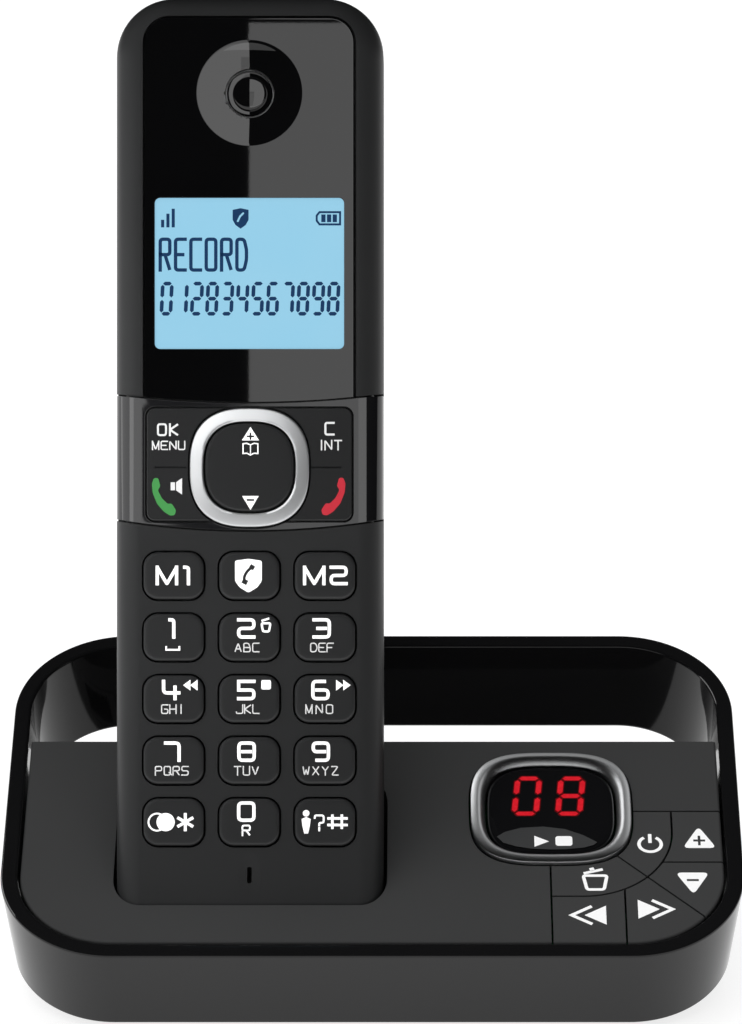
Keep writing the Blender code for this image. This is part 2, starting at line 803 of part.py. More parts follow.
def make_socket(name, width, height, place_x):
    """A modular socket, open to the rear."""
    back = TUB_BACK
    front = back - SOCKET_LENGTH
    low = SOCKET_FLOOR_HEIGHT
    high = low + height
    wall = SOCKET_WALL
    outer = box(-width / 2, width / 2, front, back, low, high)
    inner = box(
        -width / 2 + wall,
        width / 2 - wall,
        front + wall,
        back + OVERRUN,
        low + wall,
        high - wall,
    )
    made = piece(name, outer, ground, (place_x, 0, 0), "black_matt")
    cut(made, cutter(f"{name}_hollow", inner, ground, (place_x, 0, 0)))


# Base: counter, lens and keys

def make_counter():
    outer = bezel_outline(0)
    inner = bezel_outline(-BEZEL_BAND)
    place = (*COUNTER_PLACE, -DECK_DROP)
    band = slab([outer, inner], -DECK_THICKNESS, BEZEL_RISE, round_top=BEZEL_EDGE)
    piece("display_bezel", band, deck, place, "chrome")
    lens = slab(
        bezel_outline(-BEZEL_BAND - GAP),
        LENS_RISE - LENS_THICKNESS,
        LENS_RISE,
        round_top=LENS_EDGE,
    )
    piece("play_stop_key", lens, deck, place, "lens_smoke")
    module = box(
        -DIGITS_WIDTH / 2,
        DIGITS_WIDTH / 2,
        -DIGITS_HEIGHT / 2,
        DIGITS_HEIGHT / 2,
        GAP - BASE_BOARD_DROP,
        LENS_RISE - LENS_THICKNESS - BASE_KEY_TRAVEL - GAP - DECK_DROP,
    )
    digits_place = (COUNTER_PLACE[0] + DIGITS_SHIFT[0], COUNTER_PLACE[1] + DIGITS_SHIFT[1], 0)
    piece("digit_display", module, deck, digits_place, "digit_red")


def base_key(name, outline, place, zone, hole):
    """A key tile, half a seam inside its outline, kept within a zone and clear of a hole."""
    local = [(x - place[0], y - place[1]) for x, y in inset(outline, GAP / 2)]
    tile = slab(local, -DECK_THICKNESS, 0)
    made = piece(name, tile, deck, (*place, -DECK_DROP), "key_grey")
    keep_inside(made, zone)
    cut(made, hole)


def make_base_keys():
    low = deck_bottom() - OVERRUN
    in_deck = cutter("deck_zone", slab(deck_outline(), low, OVERRUN), deck)
    inner = cutter("inner_zone", slab(inner_keys_outline(-GAP / 2), low, OVERRUN), deck)
    beyond = cutter("beyond_zone", slab(inner_keys_outline(GAP / 2), low, OVERRUN), deck)
    bezel = cutter(
        "bezel_zone", slab(bezel_outline(GAP), low, OVERRUN), deck, (*COUNTER_PLACE, 0)
    )
    left, back = KEY_ZONE_LEFT, KEY_ZONE_BACK
    right, front = INNER_KEYS_RIGHT, INNER_KEYS_FRONT
    far = RING_WIDTH
    near = -front
    corner = (right, front)
    diagonal_back = (right + front - back, back)
    diagonal_volume = (right + front - VOLUME_SEAM, VOLUME_SEAM)
    diagonal_skip = (SKIP_SEAM, right + front - SKIP_SEAM)
    diagonal_near = (right + front - near, near)
    inner_keys = (
        ("power_key", [corner, (right, back), diagonal_back]),
        ("delete_key", [(left, front), corner, diagonal_back, (left, back)]),
    )
    outer_keys = (
        (
            "volume_up_key",
            [diagonal_volume, (far, VOLUME_SEAM), (far, back), (diagonal_volume[0], back)],
        ),
        ("volume_down_key", [diagonal_volume, diagonal_near, (diagonal_near[0], VOLUME_SEAM)]),
        ("skip_forward_key", [(SKIP_SEAM, near), diagonal_near, diagonal_skip]),
        (
            "skip_back_key",
            [(left, near), (SKIP_SEAM, near), diagonal_skip, (left, diagonal_skip[1])],
        ),
    )
    for name, outline in inner_keys:
        base_key(name, outline, ((left + right) / 2, front), inner, bezel)
    for name, outline in outer_keys:
        base_key(name, outline, corner, in_deck, beyond)


# Base: inside

def make_base_inside():
    top = -BASE_BOARD_DROP
    left, right = board_sides()
    outline = rounded_rectangle(
        left, right, BASE_BOARD_FRONT, BASE_BOARD_BACK, 0, BASE_BOARD_CORNER
    )
    board = slab(outline, top - BASE_BOARD_THICKNESS, top)
    piece("base_circuit_board", board, deck, (0, 0, 0), "board_green")
    low = TUB_FLOOR_HEIGHT + TUB_WALL + GAP
    rim = low + BASE_SPEAKER_FRAME_HEIGHT
    high = low + BASE_SPEAKER_HEIGHT
    profile = [
        (0, high),
        (BASE_SPEAKER_MAGNET_RADIUS, high),
        (BASE_SPEAKER_MAGNET_RADIUS, rim),
        (BASE_SPEAKER_RADIUS, rim),
        (BASE_SPEAKER_RADIUS, low),
        (0, low),
    ]
    turned_piece("base_loudspeaker", profile, ground, (*BASE_SPEAKER_PLACE, 0), "steel")
    make_socket("line_socket", LINE_SOCKET_WIDTH, LINE_SOCKET_HEIGHT, LINE_SOCKET_PLACE_X)
    make_socket("power_socket", POWER_SOCKET_WIDTH, POWER_SOCKET_HEIGHT, POWER_SOCKET_PLACE_X)


def make_charge_pins():
    """Pins through the pocket's floor, each with a collar below it."""
    top = PIN_PROUD - POCKET_FLOOR_ROOM
    collar = -POCKET_FLOOR_ROOM - POCKET_WALL - GAP
    profile = [
        (0, top),
        (PIN_RADIUS, top),
        (PIN_RADIUS, collar),
        (PIN_COLLAR_RADIUS, collar),
        (PIN_COLLAR_RADIUS, collar - PIN_COLLAR_HEIGHT),
        (PIN_RADIUS, collar - PIN_COLLAR_HEIGHT),
        (PIN_RADIUS, top - PIN_LENGTH),
        (0, top - PIN_LENGTH),
    ]
    for side, name in ((-1, "charge_pin_left"), (1, "charge_pin_right")):
        place = (side * CONTACT_PLACE_X, CONTACT_DEPTH, 0)
        turned_piece(name, profile, pocket, place, "gold", steps=12)


# Handset: shells

def handset_outline(inward):
    half = HANDSET_WIDTH / 2 - inward
    return rounded_rectangle(
        -half,
        half,
        inward,
        HANDSET_LENGTH - inward,
        HANDSET_TOP_CORNER - inward,
        HANDSET_FOOT_CORNER - inward,
    )


def front_body():
    return slab(
        handset_outline(0), -PARTING_DEPTH, 0, round_top=HANDSET_FACE_EDGE, steps=5
    )


def under_collar(wall):
    """What lies below the saddle's wall, with its edges rounded about the face edge's centre."""
    half = HANDSET_WIDTH / 2 - wall
    sides = rounded_rectangle(-half, half, 0, HANDSET_LENGTH, 0)
    low = -PARTING_DEPTH - 2 * OVERRUN
    return slab(sides, low, -wall, round_top=HANDSET_FACE_EDGE - wall, steps=5)


def collar_outline(outward):
    """The saddle's band across the handset, wider than the handset. Both edges sag."""
    reach = HANDSET_WIDTH / 2 + OVERRUN
    half = HANDSET_WIDTH / 2
    across = [reach * (2 * step / COLLAR_ARC_STEPS - 1) for step in range(COLLAR_ARC_STEPS + 1)]
    foot = HANDSET_LENGTH - COLLAR_FOOT_FROM_TOP - outward
    top = HANDSET_LENGTH - COLLAR_TOP_FROM_TOP + outward
    lower = [(x, foot + COLLAR_FOOT_SAG * (x / half) ** 2) for x in across]
    upper = [(x, top + COLLAR_TOP_SAG * (x / half) ** 2) for x in reversed(across)]
    return lower + upper


def function_outline(inward):
    half = FUNCTION_HALF_WIDTH - inward
    foot = HANDSET_LENGTH - FUNCTION_FOOT_FROM_TOP + inward
    top = HANDSET_LENGTH - FUNCTION_TOP_FROM_TOP - inward
    return rounded_rectangle(-half, half, foot, top, FUNCTION_CORNER - inward)


def navigation_outline(outward):
    return superellipse(
        NAVIGATION_HALF_WIDTH + outward,
        NAVIGATION_HALF_HEIGHT + outward,
        NAVIGATION_POWER,
        SQUIRCLE_STEPS,
    )


def navigation_place(height):
    return (0, HANDSET_LENGTH - NAVIGATION_FROM_TOP, height)


def window_outline(outward):
    half = WINDOW_HALF_WIDTH + outward
    foot = HANDSET_LENGTH - COLLAR_TOP_FROM_TOP - COLLAR_TOP_SAG
    top = HANDSET_LENGTH - WINDOW_TOP_MARGIN + outward
    return rounded_rectangle(-half, half, foot, top, WINDOW_CORNER + outward, 0)


def dish_place():
    return (0, HANDSET_LENGTH - DISH_FROM_TOP, 0)


def lcd_outline(outward):
    half_width = LCD_WIDTH / 2 + outward
    half_height = LCD_HEIGHT / 2 + outward
    return rounded_rectangle(
        -half_width, half_width, -half_height, half_height, LCD_CORNER + outward
    )


def lcd_place():
    return (0, HANDSET_LENGTH - LCD_FROM_TOP, 0)


def key_places():
    """Key centres on the face, row by row from the top."""
    top = HANDSET_LENGTH - KEY_TOP_ROW_FROM_TOP
    return [
        (column, top - row * KEY_PITCH_Y, 0)
        for row in range(len(KEY_NAMES))
        for column in rows(3, KEY_PITCH_X)
    ]


def key_outline(outward):
    half_width = KEY_WIDTH / 2 + outward
    half_height = KEY_HEIGHT / 2 + outward
    return rounded_rectangle(
        -half_width, half_width, -half_height, half_height, KEY_CORNER + outward, steps=3
    )


def microphone_place():
    return (0, HANDSET_LENGTH - MICROPHONE_FROM_TOP, 0)


def make_front_shell():
    made = piece("handset_front_shell", front_body(), handset, (0, 0, 0), "black_matt")
    below = -PARTING_DEPTH - OVERRUN
    hollow = slab(handset_outline(SIDE_WALL), below, -FACE_WALL)
    recess = slab(window_outline(GAP), -WINDOW_THICKNESS - GAP, OVERRUN)
    cut(made, cutter("front_hollow", hollow, handset), cutter("window_recess", recess, handset))

    groove = cutter("collar_groove", slab(collar_outline(GAP), below, OVERRUN), handset)
    cut(groove, cutter("collar_core", under_collar(COLLAR_WALL + GAP), handset))
    cut(made, groove)

    through = slab(lcd_outline(GAP), below, OVERRUN)
    dish = cylinder(DISH_RADIUS + DISH_WALL + GAP, below, OVERRUN, steps=32)
    mouth = rounded_rectangle(
        -MICROPHONE_SLOT_WIDTH / 2,
        MICROPHONE_SLOT_WIDTH / 2,
        -MICROPHONE_SLOT_HEIGHT / 2,
        MICROPHONE_SLOT_HEIGHT / 2,
        MICROPHONE_SLOT_WIDTH / 4,
        steps=2,
    )
    cut(made, cutter("lcd_hole", through, handset, lcd_place()))
    cut(made, cutter("dish_hole", dish, handset, dish_place()))
    cut(made, cutter("mouth", slab(mouth, below, OVERRUN), handset, microphone_place()))
    holes = side_by_side(slab(key_outline(GAP), below, OVERRUN), key_places())
    cut(made, cutter("key_holes", holes, handset))


def door_outline(outward, foot_extra=0):
    half = DOOR_HALF_WIDTH + outward
    foot = DOOR_FOOT - outward - foot_extra
    return rounded_rectangle(
        -half, half, foot, DOOR_FOOT + DOOR_LENGTH + outward, DOOR_CORNER + outward
    )


def compartment():
    """Half width, top and floor depth of the battery compartment's hollow."""
    half = CELL_SPACING / 2 + CELL_RADIUS + GAP
    top = COMPARTMENT_FOOT + LINK_THICKNESS + CELL_LENGTH + CELL_NUB_LENGTH + 3 * GAP
    return half, top, cell_depth() - CELL_RADIUS - GAP


def cell_depth():
    """Depth of the cells' axes behind the face, clear of the door."""
    return HANDSET_DEPTH - DOOR_THICKNESS - 2 * GAP - CELL_RADIUS


def make_rear_shell():
    top = -PARTING_DEPTH - GAP
    body = slab(
        handset_outline(0), -HANDSET_DEPTH, top, round_low=HANDSET_BACK_EDGE, steps=4
    )
    made = piece("handset_rear_shell", body, handset, (0, 0, 0), "black_matt")
    back = -HANDSET_DEPTH - OVERRUN
    inner_back = BACK_WALL - HANDSET_DEPTH
    hollow = slab(handset_outline(SIDE_WALL), inner_back, top + OVERRUN)
    cut(made, cutter("rear_hollow", hollow, handset))

    half, high, floor = compartment()
    wall = COMPARTMENT_WALL
    walls = box(
        -half - wall,
        half + wall,
        COMPARTMENT_FOOT - wall,
        high + wall,
        inner_back - BACK_WALL / 4,
        COMPARTMENT_FLOOR - floor,
    )
    join(made, cutter("compartment_walls", walls, handset))
    room = box(-half, half, COMPARTMENT_FOOT, high, back, -floor)
    recess = slab(
        door_outline(GAP, DOOR_TRAVEL + GAP), back, GAP + DOOR_THICKNESS - HANDSET_DEPTH
    )
    cut(made, cutter("compartment_room", room, handset), cutter("door_recess", recess, handset))

    slot = box(
        -HANDSFREE_SLOT_LENGTH / 2,
        HANDSFREE_SLOT_LENGTH / 2,
        -HANDSFREE_SLOT_WIDTH / 2,
        HANDSFREE_SLOT_WIDTH / 2,
        back,
        inner_back + GAP / 2,
    )
    y = HANDSET_LENGTH - HANDSFREE_FROM_TOP
    places = [(0, y + row, 0) for row in rows(HANDSFREE_SLOT_COUNT, HANDSFREE_SLOT_PITCH)]
    cut(made, cutter("handsfree_slots", side_by_side(slot, places), handset))

    half = CHARGE_PLATE_WIDTH / 2 + GAP
    rise = CHARGE_PLATE_HEIGHT / 2 + GAP
    seat = box(-half, half, -OVERRUN, CHARGE_PLATE_THICKNESS + GAP, -rise, rise)
    places = [(side * CONTACT_PLACE_X, 0, -CONTACT_DEPTH) for side in (-1, 1)]
    cut(made, cutter("plate_seats", side_by_side(seat, places), handset))


# Handset: face

def make_window():
    """Gloss window with the dish formed in it, cut off along the saddle's upper edge."""
    plate = slab(window_outline(0), -WINDOW_THICKNESS, 0)
    made = piece("screen_window", plate, handset, (0, 0, 0), "black_gloss")
    boss = cylinder(
        DISH_RADIUS + DISH_WALL, -DISH_DEPTH - DISH_WALL, -WINDOW_THICKNESS / 2, steps=32
    )
    join(made, cutter("dish_boss", boss, handset, dish_place()))
    curve = (DISH_RADIUS**2 + DISH_DEPTH**2) / (2 * DISH_DEPTH)
    steps = 6
    bowl = [(0, OVERRUN), (DISH_RADIUS, OVERRUN)]
    for step in range(steps, -1, -1):
        radius = DISH_RADIUS * step / steps
        depth = curve - DISH_DEPTH - (curve**2 - radius**2) ** 0.5
        bowl.append((radius, depth))
    cut(made, turned_cutter("dish_bowl", bowl, handset, dish_place(), steps=32))
    bore = cylinder(DISH_HOLE_RADIUS, -DISH_DEPTH - OVERRUN, OVERRUN)
    cut(made, cutter("dish_bore", bore, handset, dish_place()))
    below = slab(collar_outline(GAP), -PARTING_DEPTH, OVERRUN)
    cut(made, cutter("window_foot", below, handset))


def make_collar():
    made = piece("function_collar", front_body(), handset, (0, 0, 0), "black_gloss")
    below = -PARTING_DEPTH - OVERRUN
    band = slab(collar_outline(0), below, OVERRUN)
    keep_inside(made, cutter("collar_band", band, handset))
    opening = slab(function_outline(0), below, OVERRUN)
    frame_hole = slab(navigation_outline(GAP), below, OVERRUN)
    cut(made, cutter("collar_inside", under_collar(COLLAR_WALL), handset))
    cut(made, cutter("collar_opening", opening, handset))
    cut(made, cutter("frame_hole", frame_hole, handset, navigation_place(0)))


def make_function_keys():
    """The navigation frame and its key, and the plate on each side, cut to fit round the frame."""
    place = navigation_place(0)
    ring = slab(
        [navigation_outline(0), navigation_outline(-NAVIGATION_BAND)],
        -COLLAR_WALL,
        NAVIGATION_RISE,
        round_top=NAVIGATION_EDGE,
    )
    piece("navigation_ring", ring, handset, place, "chrome")
    key = slab(
        navigation_outline(-NAVIGATION_BAND - GAP),
        NAVIGATION_KEY_RISE - NAVIGATION_KEY_THICKNESS + FUNCTION_HINGE_DEPTH,
        NAVIGATION_KEY_RISE + FUNCTION_HINGE_DEPTH,
    )
    piece("navigation_key", key, handset, navigation_place(-FUNCTION_HINGE_DEPTH), "key_grey")

    top = HANDSET_LENGTH - FUNCTION_TOP_FROM_TOP
    foot = HANDSET_LENGTH - FUNCTION_FOOT_FROM_TOP
    middle = (top + foot) / 2
    ring_zone = cutter(
        "frame_zone", slab(navigation_outline(GAP), -OVERRUN, OVERRUN), handset, place
    )
    for name, side in (("call_key_plate", -1), ("end_key_plate", 1)):
        local = [(x, y - middle) for x, y in function_outline(GAP)]
        plate = slab(
            local,
            FUNCTION_HINGE_DEPTH + FUNCTION_PLATE_RISE - FUNCTION_PLATE_THICKNESS,
            FUNCTION_HINGE_DEPTH + FUNCTION_PLATE_RISE,
        )
        made = piece(name, plate, handset, (0, middle, -FUNCTION_HINGE_DEPTH), "black_gloss")
        other = box(
            min(0, -side * HANDSET_WIDTH),
            max(0, -side * HANDSET_WIDTH),
            0,
            HANDSET_LENGTH,
            -OVERRUN,
            OVERRUN,
        )
        cut(made, cutter(f"{name}_side", other, handset), ring_zone)


def flange_top():
    return -FACE_WALL - GAP


def make_keypad():
    """Caps with a flange behind the face that keeps them in, and the mat behind them."""
    names = [name for row in KEY_NAMES for name in row]
    flange_low = flange_top() - KEY_FLANGE_THICKNESS
    cap = slab(key_outline(0), flange_low, KEY_RISE, round_top=KEY_EDGE, steps=1)
    half_width = KEY_WIDTH / 2 + KEY_FLANGE
    half_height = KEY_HEIGHT / 2 + KEY_FLANGE
    flange = box(
        -half_width, half_width, -half_height, half_height, flange_low - GAP / 2, flange_top()
    )
    for name, place in zip(names, key_places()):
        made = piece(name, cap.copy(), handset, place, "key_grey")
        join(made, cutter(f"{name}_flange", flange, handset, place))
    top = flange_low - KEY_TRAVEL - 2 * GAP
    places = key_places()
    reach = half_height + MAT_MARGIN
    mat_half = HANDSET_WIDTH / 2 - SIDE_WALL - BOARD_MARGIN
    mat = box(
        -mat_half,
        mat_half,
        places[-1][1] - reach,
        places[0][1] + reach,
        top - MAT_THICKNESS,
        top,
    )
    piece("keypad_mat", mat, handset, (0, 0, 0), "rubber")


# Handset: inside

def make_handset_inside():
    half_width = HANDSET_WIDTH / 2 - SIDE_WALL - BOARD_MARGIN
    board = rounded_rectangle(
        -half_width,
        half_width,
        SIDE_WALL + BOARD_MARGIN,
        HANDSET_LENGTH - SIDE_WALL - BOARD_MARGIN,
        HANDSET_TOP_CORNER - SIDE_WALL,
        HANDSET_FOOT_CORNER - SIDE_WALL,
    )
    shape = slab(board, -BOARD_DEPTH - BOARD_THICKNESS, -BOARD_DEPTH)
    piece("handset_circuit_board", shape, handset, (0, 0, 0), "board_green")
    low = GAP - BOARD_DEPTH
    panel = slab(lcd_outline(0), low, -WINDOW_THICKNESS - GAP)
    piece("lcd_panel", panel, handset, lcd_place(), "display_blue")
    high = -EARPIECE_CAP_BOTTOM - GAP
    receiver = turned_disc(RECEIVER_RADIUS, low, high)
    turned_piece("receiver_capsule", receiver, handset, dish_place(), "steel")
    cap_radius = DISH_HOLE_RADIUS - GAP
    profile = [
        (0, -EARPIECE_DOME_TOP),
        (EARPIECE_DOME_RADIUS / 2, -EARPIECE_DOME_TOP * (1 + EARPIECE_DOME_FALL_SHARES[0])),
        (EARPIECE_DOME_RADIUS, -EARPIECE_DOME_TOP * (1 + EARPIECE_DOME_FALL_SHARES[1])),
        (EARPIECE_DOME_RADIUS, -EARPIECE_GROOVE_DEPTH),
        (cap_radius, -EARPIECE_GROOVE_DEPTH),
        (cap_radius, -EARPIECE_CAP_BOTTOM),
        (0, -EARPIECE_CAP_BOTTOM),
    ]
    turned_piece("earpiece_cap", profile, handset, dish_place(), "black_gloss")
    capsule = turned_disc(MICROPHONE_RADIUS, low, -FACE_WALL - GAP)
    turned_piece("microphone_capsule", capsule, handset, microphone_place(), "steel")
    back = BACK_WALL - HANDSET_DEPTH + GAP
    speaker = turned_disc(HANDSFREE_RADIUS, back, back + HANDSFREE_THICKNESS)
    place = (0, HANDSET_LENGTH - HANDSFREE_FROM_TOP, 0)
    turned_piece("handsfree_loudspeaker", speaker, handset, place, "steel")


def make_battery():
    """Two cells side by side, the strip that links them at the foot, and the door."""
    foot = COMPARTMENT_FOOT + GAP
    half, _, _ = compartment()
    link = box(
        GAP - half, half - GAP, foot, foot + LINK_THICKNESS, -LINK_HEIGHT / 2, LINK_HEIGHT / 2
    )
    piece("battery_link_plate", link, handset, (0, 0, -cell_depth()), "steel")
    low = foot + LINK_THICKNESS + GAP
    profile = [
        (0, CELL_LENGTH + CELL_NUB_LENGTH),
        (CELL_NUB_RADIUS, CELL_LENGTH + CELL_NUB_LENGTH),
        (CELL_NUB_RADIUS, CELL_LENGTH),
        (CELL_RADIUS, CELL_LENGTH),
        (CELL_RADIUS, 0),
        (0, 0),
    ]
    for name, side in (("battery_cell_left", -1), ("battery_cell_right", 1)):
        place = (side * CELL_SPACING / 2, low, -cell_depth())
        made = turned_piece(name, profile, handset, place, "cell_wrap", steps=20)
        made.rotation_euler.x = -pi / 2
    door = slab(door_outline(0), -HANDSET_DEPTH, DOOR_THICKNESS - HANDSET_DEPTH)
    made = piece("battery_door", door, handset, (0, 0, 0), "black_matt")
    ridge = box(
        -DOOR_RIDGE_WIDTH / 2,
        DOOR_RIDGE_WIDTH / 2,
        -DOOR_RIDGE_HEIGHT / 2,
        DOOR_RIDGE_HEIGHT / 2,
        -HANDSET_DEPTH - DOOR_RIDGE_RISE,
        DOOR_THICKNESS / 2 - HANDSET_DEPTH,
    )
    y = DOOR_FOOT + DOOR_RIDGE_PITCH * DOOR_RIDGE_COUNT
    places = [(0, y + row, 0) for row in rows(DOOR_RIDGE_COUNT, DOOR_RIDGE_PITCH)]
    join(made, cutter("door_ridges", side_by_side(ridge, places), handset))


def make_charge_plates():
    plate = box(
        -CHARGE_PLATE_WIDTH / 2,
        CHARGE_PLATE_WIDTH / 2,
        0,
        CHARGE_PLATE_THICKNESS,
        -CHARGE_PLATE_HEIGHT / 2,
        CHARGE_PLATE_HEIGHT / 2,
    )
    for side, name in ((-1, "charge_plate_left"), (1, "charge_plate_right")):
        place = (side * CONTACT_PLACE_X, 0, -CONTACT_DEPTH)
        piece(name, plate.copy(), handset, place, "gold")


clear_scene()
pieces = collection("cordless_telephone")
cutters = collection("cutters")
deck, handset, pocket, ground = make_frames()

make_ring()
make_deck()
make_tub()
make_counter()
make_base_keys()
make_base_inside()
make_charge_pins()
make_front_shell()
make_rear_shell()
make_window()
make_collar()
make_function_keys()
make_keypad()
make_handset_inside()
make_battery()
make_charge_plates()
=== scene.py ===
"""A cordless telephone standing in its answering-machine base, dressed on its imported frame."""

import json
from math import cos, pi, radians, sin

import bmesh
import bpy
from mathutils import Matrix, Vector

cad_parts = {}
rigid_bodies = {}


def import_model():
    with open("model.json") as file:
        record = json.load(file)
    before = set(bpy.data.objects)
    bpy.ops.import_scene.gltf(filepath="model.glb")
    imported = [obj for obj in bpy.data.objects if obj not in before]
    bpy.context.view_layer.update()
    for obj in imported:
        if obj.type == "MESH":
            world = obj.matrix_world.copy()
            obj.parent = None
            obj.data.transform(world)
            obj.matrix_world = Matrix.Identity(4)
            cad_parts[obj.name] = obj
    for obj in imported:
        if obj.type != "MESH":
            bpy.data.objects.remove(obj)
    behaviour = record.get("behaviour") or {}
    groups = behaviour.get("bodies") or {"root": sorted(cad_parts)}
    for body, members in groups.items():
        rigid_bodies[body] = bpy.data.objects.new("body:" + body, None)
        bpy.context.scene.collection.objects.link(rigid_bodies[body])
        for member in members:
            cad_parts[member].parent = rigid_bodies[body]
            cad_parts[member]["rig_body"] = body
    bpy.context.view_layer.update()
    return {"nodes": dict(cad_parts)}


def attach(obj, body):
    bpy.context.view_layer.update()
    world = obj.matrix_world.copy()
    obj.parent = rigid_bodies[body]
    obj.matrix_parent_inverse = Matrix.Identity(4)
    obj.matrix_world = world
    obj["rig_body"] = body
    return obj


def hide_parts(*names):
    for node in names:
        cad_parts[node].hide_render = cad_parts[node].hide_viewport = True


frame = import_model()


# View, table and light
# The photograph's view looks straight at the handset's face. The telephone stands on a pale seamless
# table under a broad soft light, and two cards beside the camera show in the gloss plastic.

MM = 0.001
TILT = radians(19.3)
LEAN = radians(22)
RIM_PLACE = Vector((0, -0.046446, 0.018634))
CAMERA_PLACE = Vector((0.00717, -0.796129, 0.40439))


class Value:
    """A number or colour that varies over a surface. Numbers take Python's arithmetic."""

    def __init__(self, finish, socket):
        self.finish = finish
        self.socket = socket

    def maths(self, operation, first, second):
        return self.finish.node("ShaderNodeMath", {"operation": operation}, {0: first, 1: second})

    def __add__(self, other):
        return self.maths("ADD", self, other)

    def __radd__(self, other):
        return self.maths("ADD", other, self)

    def __mul__(self, other):
        return self.maths("MULTIPLY", self, other)

    def __rmul__(self, other):
        return self.maths("MULTIPLY", other, self)


class Finish:
    """A surface finish: constants go on the shader's own sockets, and node() makes the rest."""

    def __init__(self, name, **constants):
        self.material = bpy.data.materials.new(name)
        self.material.use_nodes = True
        self.tree = self.material.node_tree
        self.shader = self.tree.nodes["Principled BSDF"]
        for socket, value in constants.items():
            self.shader.inputs[socket.replace("_", " ")].default_value = value
        self.place = self.node("ShaderNodeTexCoord", {}, {}, "Object")

    def node(self, kind, settings, sockets, output=0):
        made = self.tree.nodes.new(kind)
        for name, value in settings.items():
            setattr(made, name, value)
        for name, value in sockets.items():
            self.feed(made.inputs[name], value)
        return Value(self, made.outputs[output])

    def feed(self, socket, value):
        if isinstance(value, Value):
            self.tree.links.new(value.socket, socket)
        else:
            socket.default_value = value

    def blend(self, factor, first, second):
        return self.node(
            "ShaderNodeMix", {"data_type": "RGBA"}, {0: factor, 6: first, 7: second}, 2
        )

    def noise(self, scale, detail=2):
        sockets = {"Vector": self.place, "Scale": scale, "Detail": detail}
        return self.node("ShaderNodeTexNoise", {}, sockets)

    def bump(self, height, distance, strength=1):
        normal = self.node(
            "ShaderNodeBump", {}, {"Height": height, "Distance": distance, "Strength": strength}
        )
        self.feed(self.shader.inputs["Normal"], normal)

    def set(self, socket, value):
        self.feed(self.shader.inputs[socket], value)


def place_camera():
    camera = bpy.data.objects.new("camera", bpy.data.cameras.new("camera"))
    camera.location = CAMERA_PLACE
    camera.rotation_euler = (pi / 2 - LEAN, 0, 0)
    camera.data.lens = 170.38
    camera.data.sensor_width = 36
    camera.data.shift_x = -0.0409
    camera.data.clip_start = 0.01
    bpy.context.scene.collection.objects.link(camera)
    bpy.context.scene.camera = camera


def softbox(name, place, aim, width, height, radiance, seen_in):
    """A soft light of that brightness. It is seen in gloss surfaces, or lights diffuse ones."""
    data = bpy.data.lights.new(name, "AREA")
    data.shape = "RECTANGLE"
    data.size = width
    data.size_y = height
    data.energy = radiance * pi * width * height
    made = bpy.data.objects.new(name, data)
    turn = Vector(aim).to_track_quat("-Z", "Y").to_matrix().to_4x4()
    made.matrix_world = Matrix.Translation(place) @ turn
    made.visible_camera = False
    made.visible_diffuse = seen_in != "gloss"
    made.visible_glossy = seen_in != "diffuse"
    bpy.context.scene.collection.objects.link(made)
    return made


def lay_table():
    finish = Finish("pale_table", Roughness=0.9, Specular_IOR_Level=0.1, Emission_Strength=2.2)
    cloud = finish.noise(1.5)
    pale = finish.blend(cloud, (0.35, 0.35, 0.35, 1), (0.36, 0.36, 0.36, 1))
    finish.set("Base Color", pale)
    finish.set("Emission Color", pale)
    bm = bmesh.new()
    bmesh.ops.create_grid(bm, x_segments=1, y_segments=1, size=4)
    mesh = bpy.data.meshes.new("table")
    bm.to_mesh(mesh)
    bm.free()
    mesh.materials.append(finish.material)
    table = bpy.data.objects.new("table", mesh)
    table.location.z = -0.00002
    bpy.context.scene.collection.objects.link(table)


def light_room():
    """An even room for the diffuse surfaces, with more light from the upper left."""
    world = bpy.data.worlds.new("room")
    world.use_nodes = True
    world.node_tree.nodes["Background"].inputs["Color"].default_value = (1, 1, 1, 1)
    world.node_tree.nodes["Background"].inputs["Strength"].default_value = 0.55
    world.cycles_visibility.glossy = False
    bpy.context.scene.world = world
    softbox("overhead", (-0.3, -0.2, 1.6), (0.3, 0.2, -1.5), 1.8, 1.8, 1.6, "diffuse")
    softbox("left_key", (-0.7, -0.45, 0.55), (0.7, 0.45, -0.45), 0.6, 0.6, 1.5, "diffuse")


bpy.context.scene.view_settings.view_transform = "Standard"
place_camera()
lay_table()
light_room()


# Housing under the deck, with its feet and underside screws
# A wedge-shaped tub of matt black plastic, moulded in one shot and screwed to the deck from below.
# Four rubber discs are glued in seats in its floor.

DECK = Matrix.Translation(RIM_PLACE) @ Matrix.Rotation(TILT, 4, "X") @ Matrix.Scale(MM, 4)
GROUND = Matrix.Translation((0, RIM_PLACE.y, 0)) @ Matrix.Scale(MM, 4)


def moulded(name, dark, light, roughness, grain=2600, relief=0.000012):
    """Moulded plastic: a spark-eroded grain, and slow changes in tone and sheen."""
    made = Finish(name)
    slow = made.noise(28, 3)
    fine = made.noise(grain, 3)
    made.set("Base Color", made.blend(slow, (*dark, 1), (*light, 1)))
    made.set("Roughness", roughness + 0.08 * slow + 0.05 * fine)
    made.bump(fine, relief, 0.6)
    return made.material


def object_of(bm, name):
    mesh = bpy.data.meshes.new(name)
    bm.to_mesh(mesh)
    bm.free()
    made = bpy.data.objects.new(name, mesh)
    bpy.context.scene.collection.objects.link(made)
    return made


def evaluated(obj):
    """The mesh of an object with its modifiers applied."""
    graph = bpy.context.evaluated_depsgraph_get()
    return bpy.data.meshes.new_from_object(obj.evaluated_get(graph))


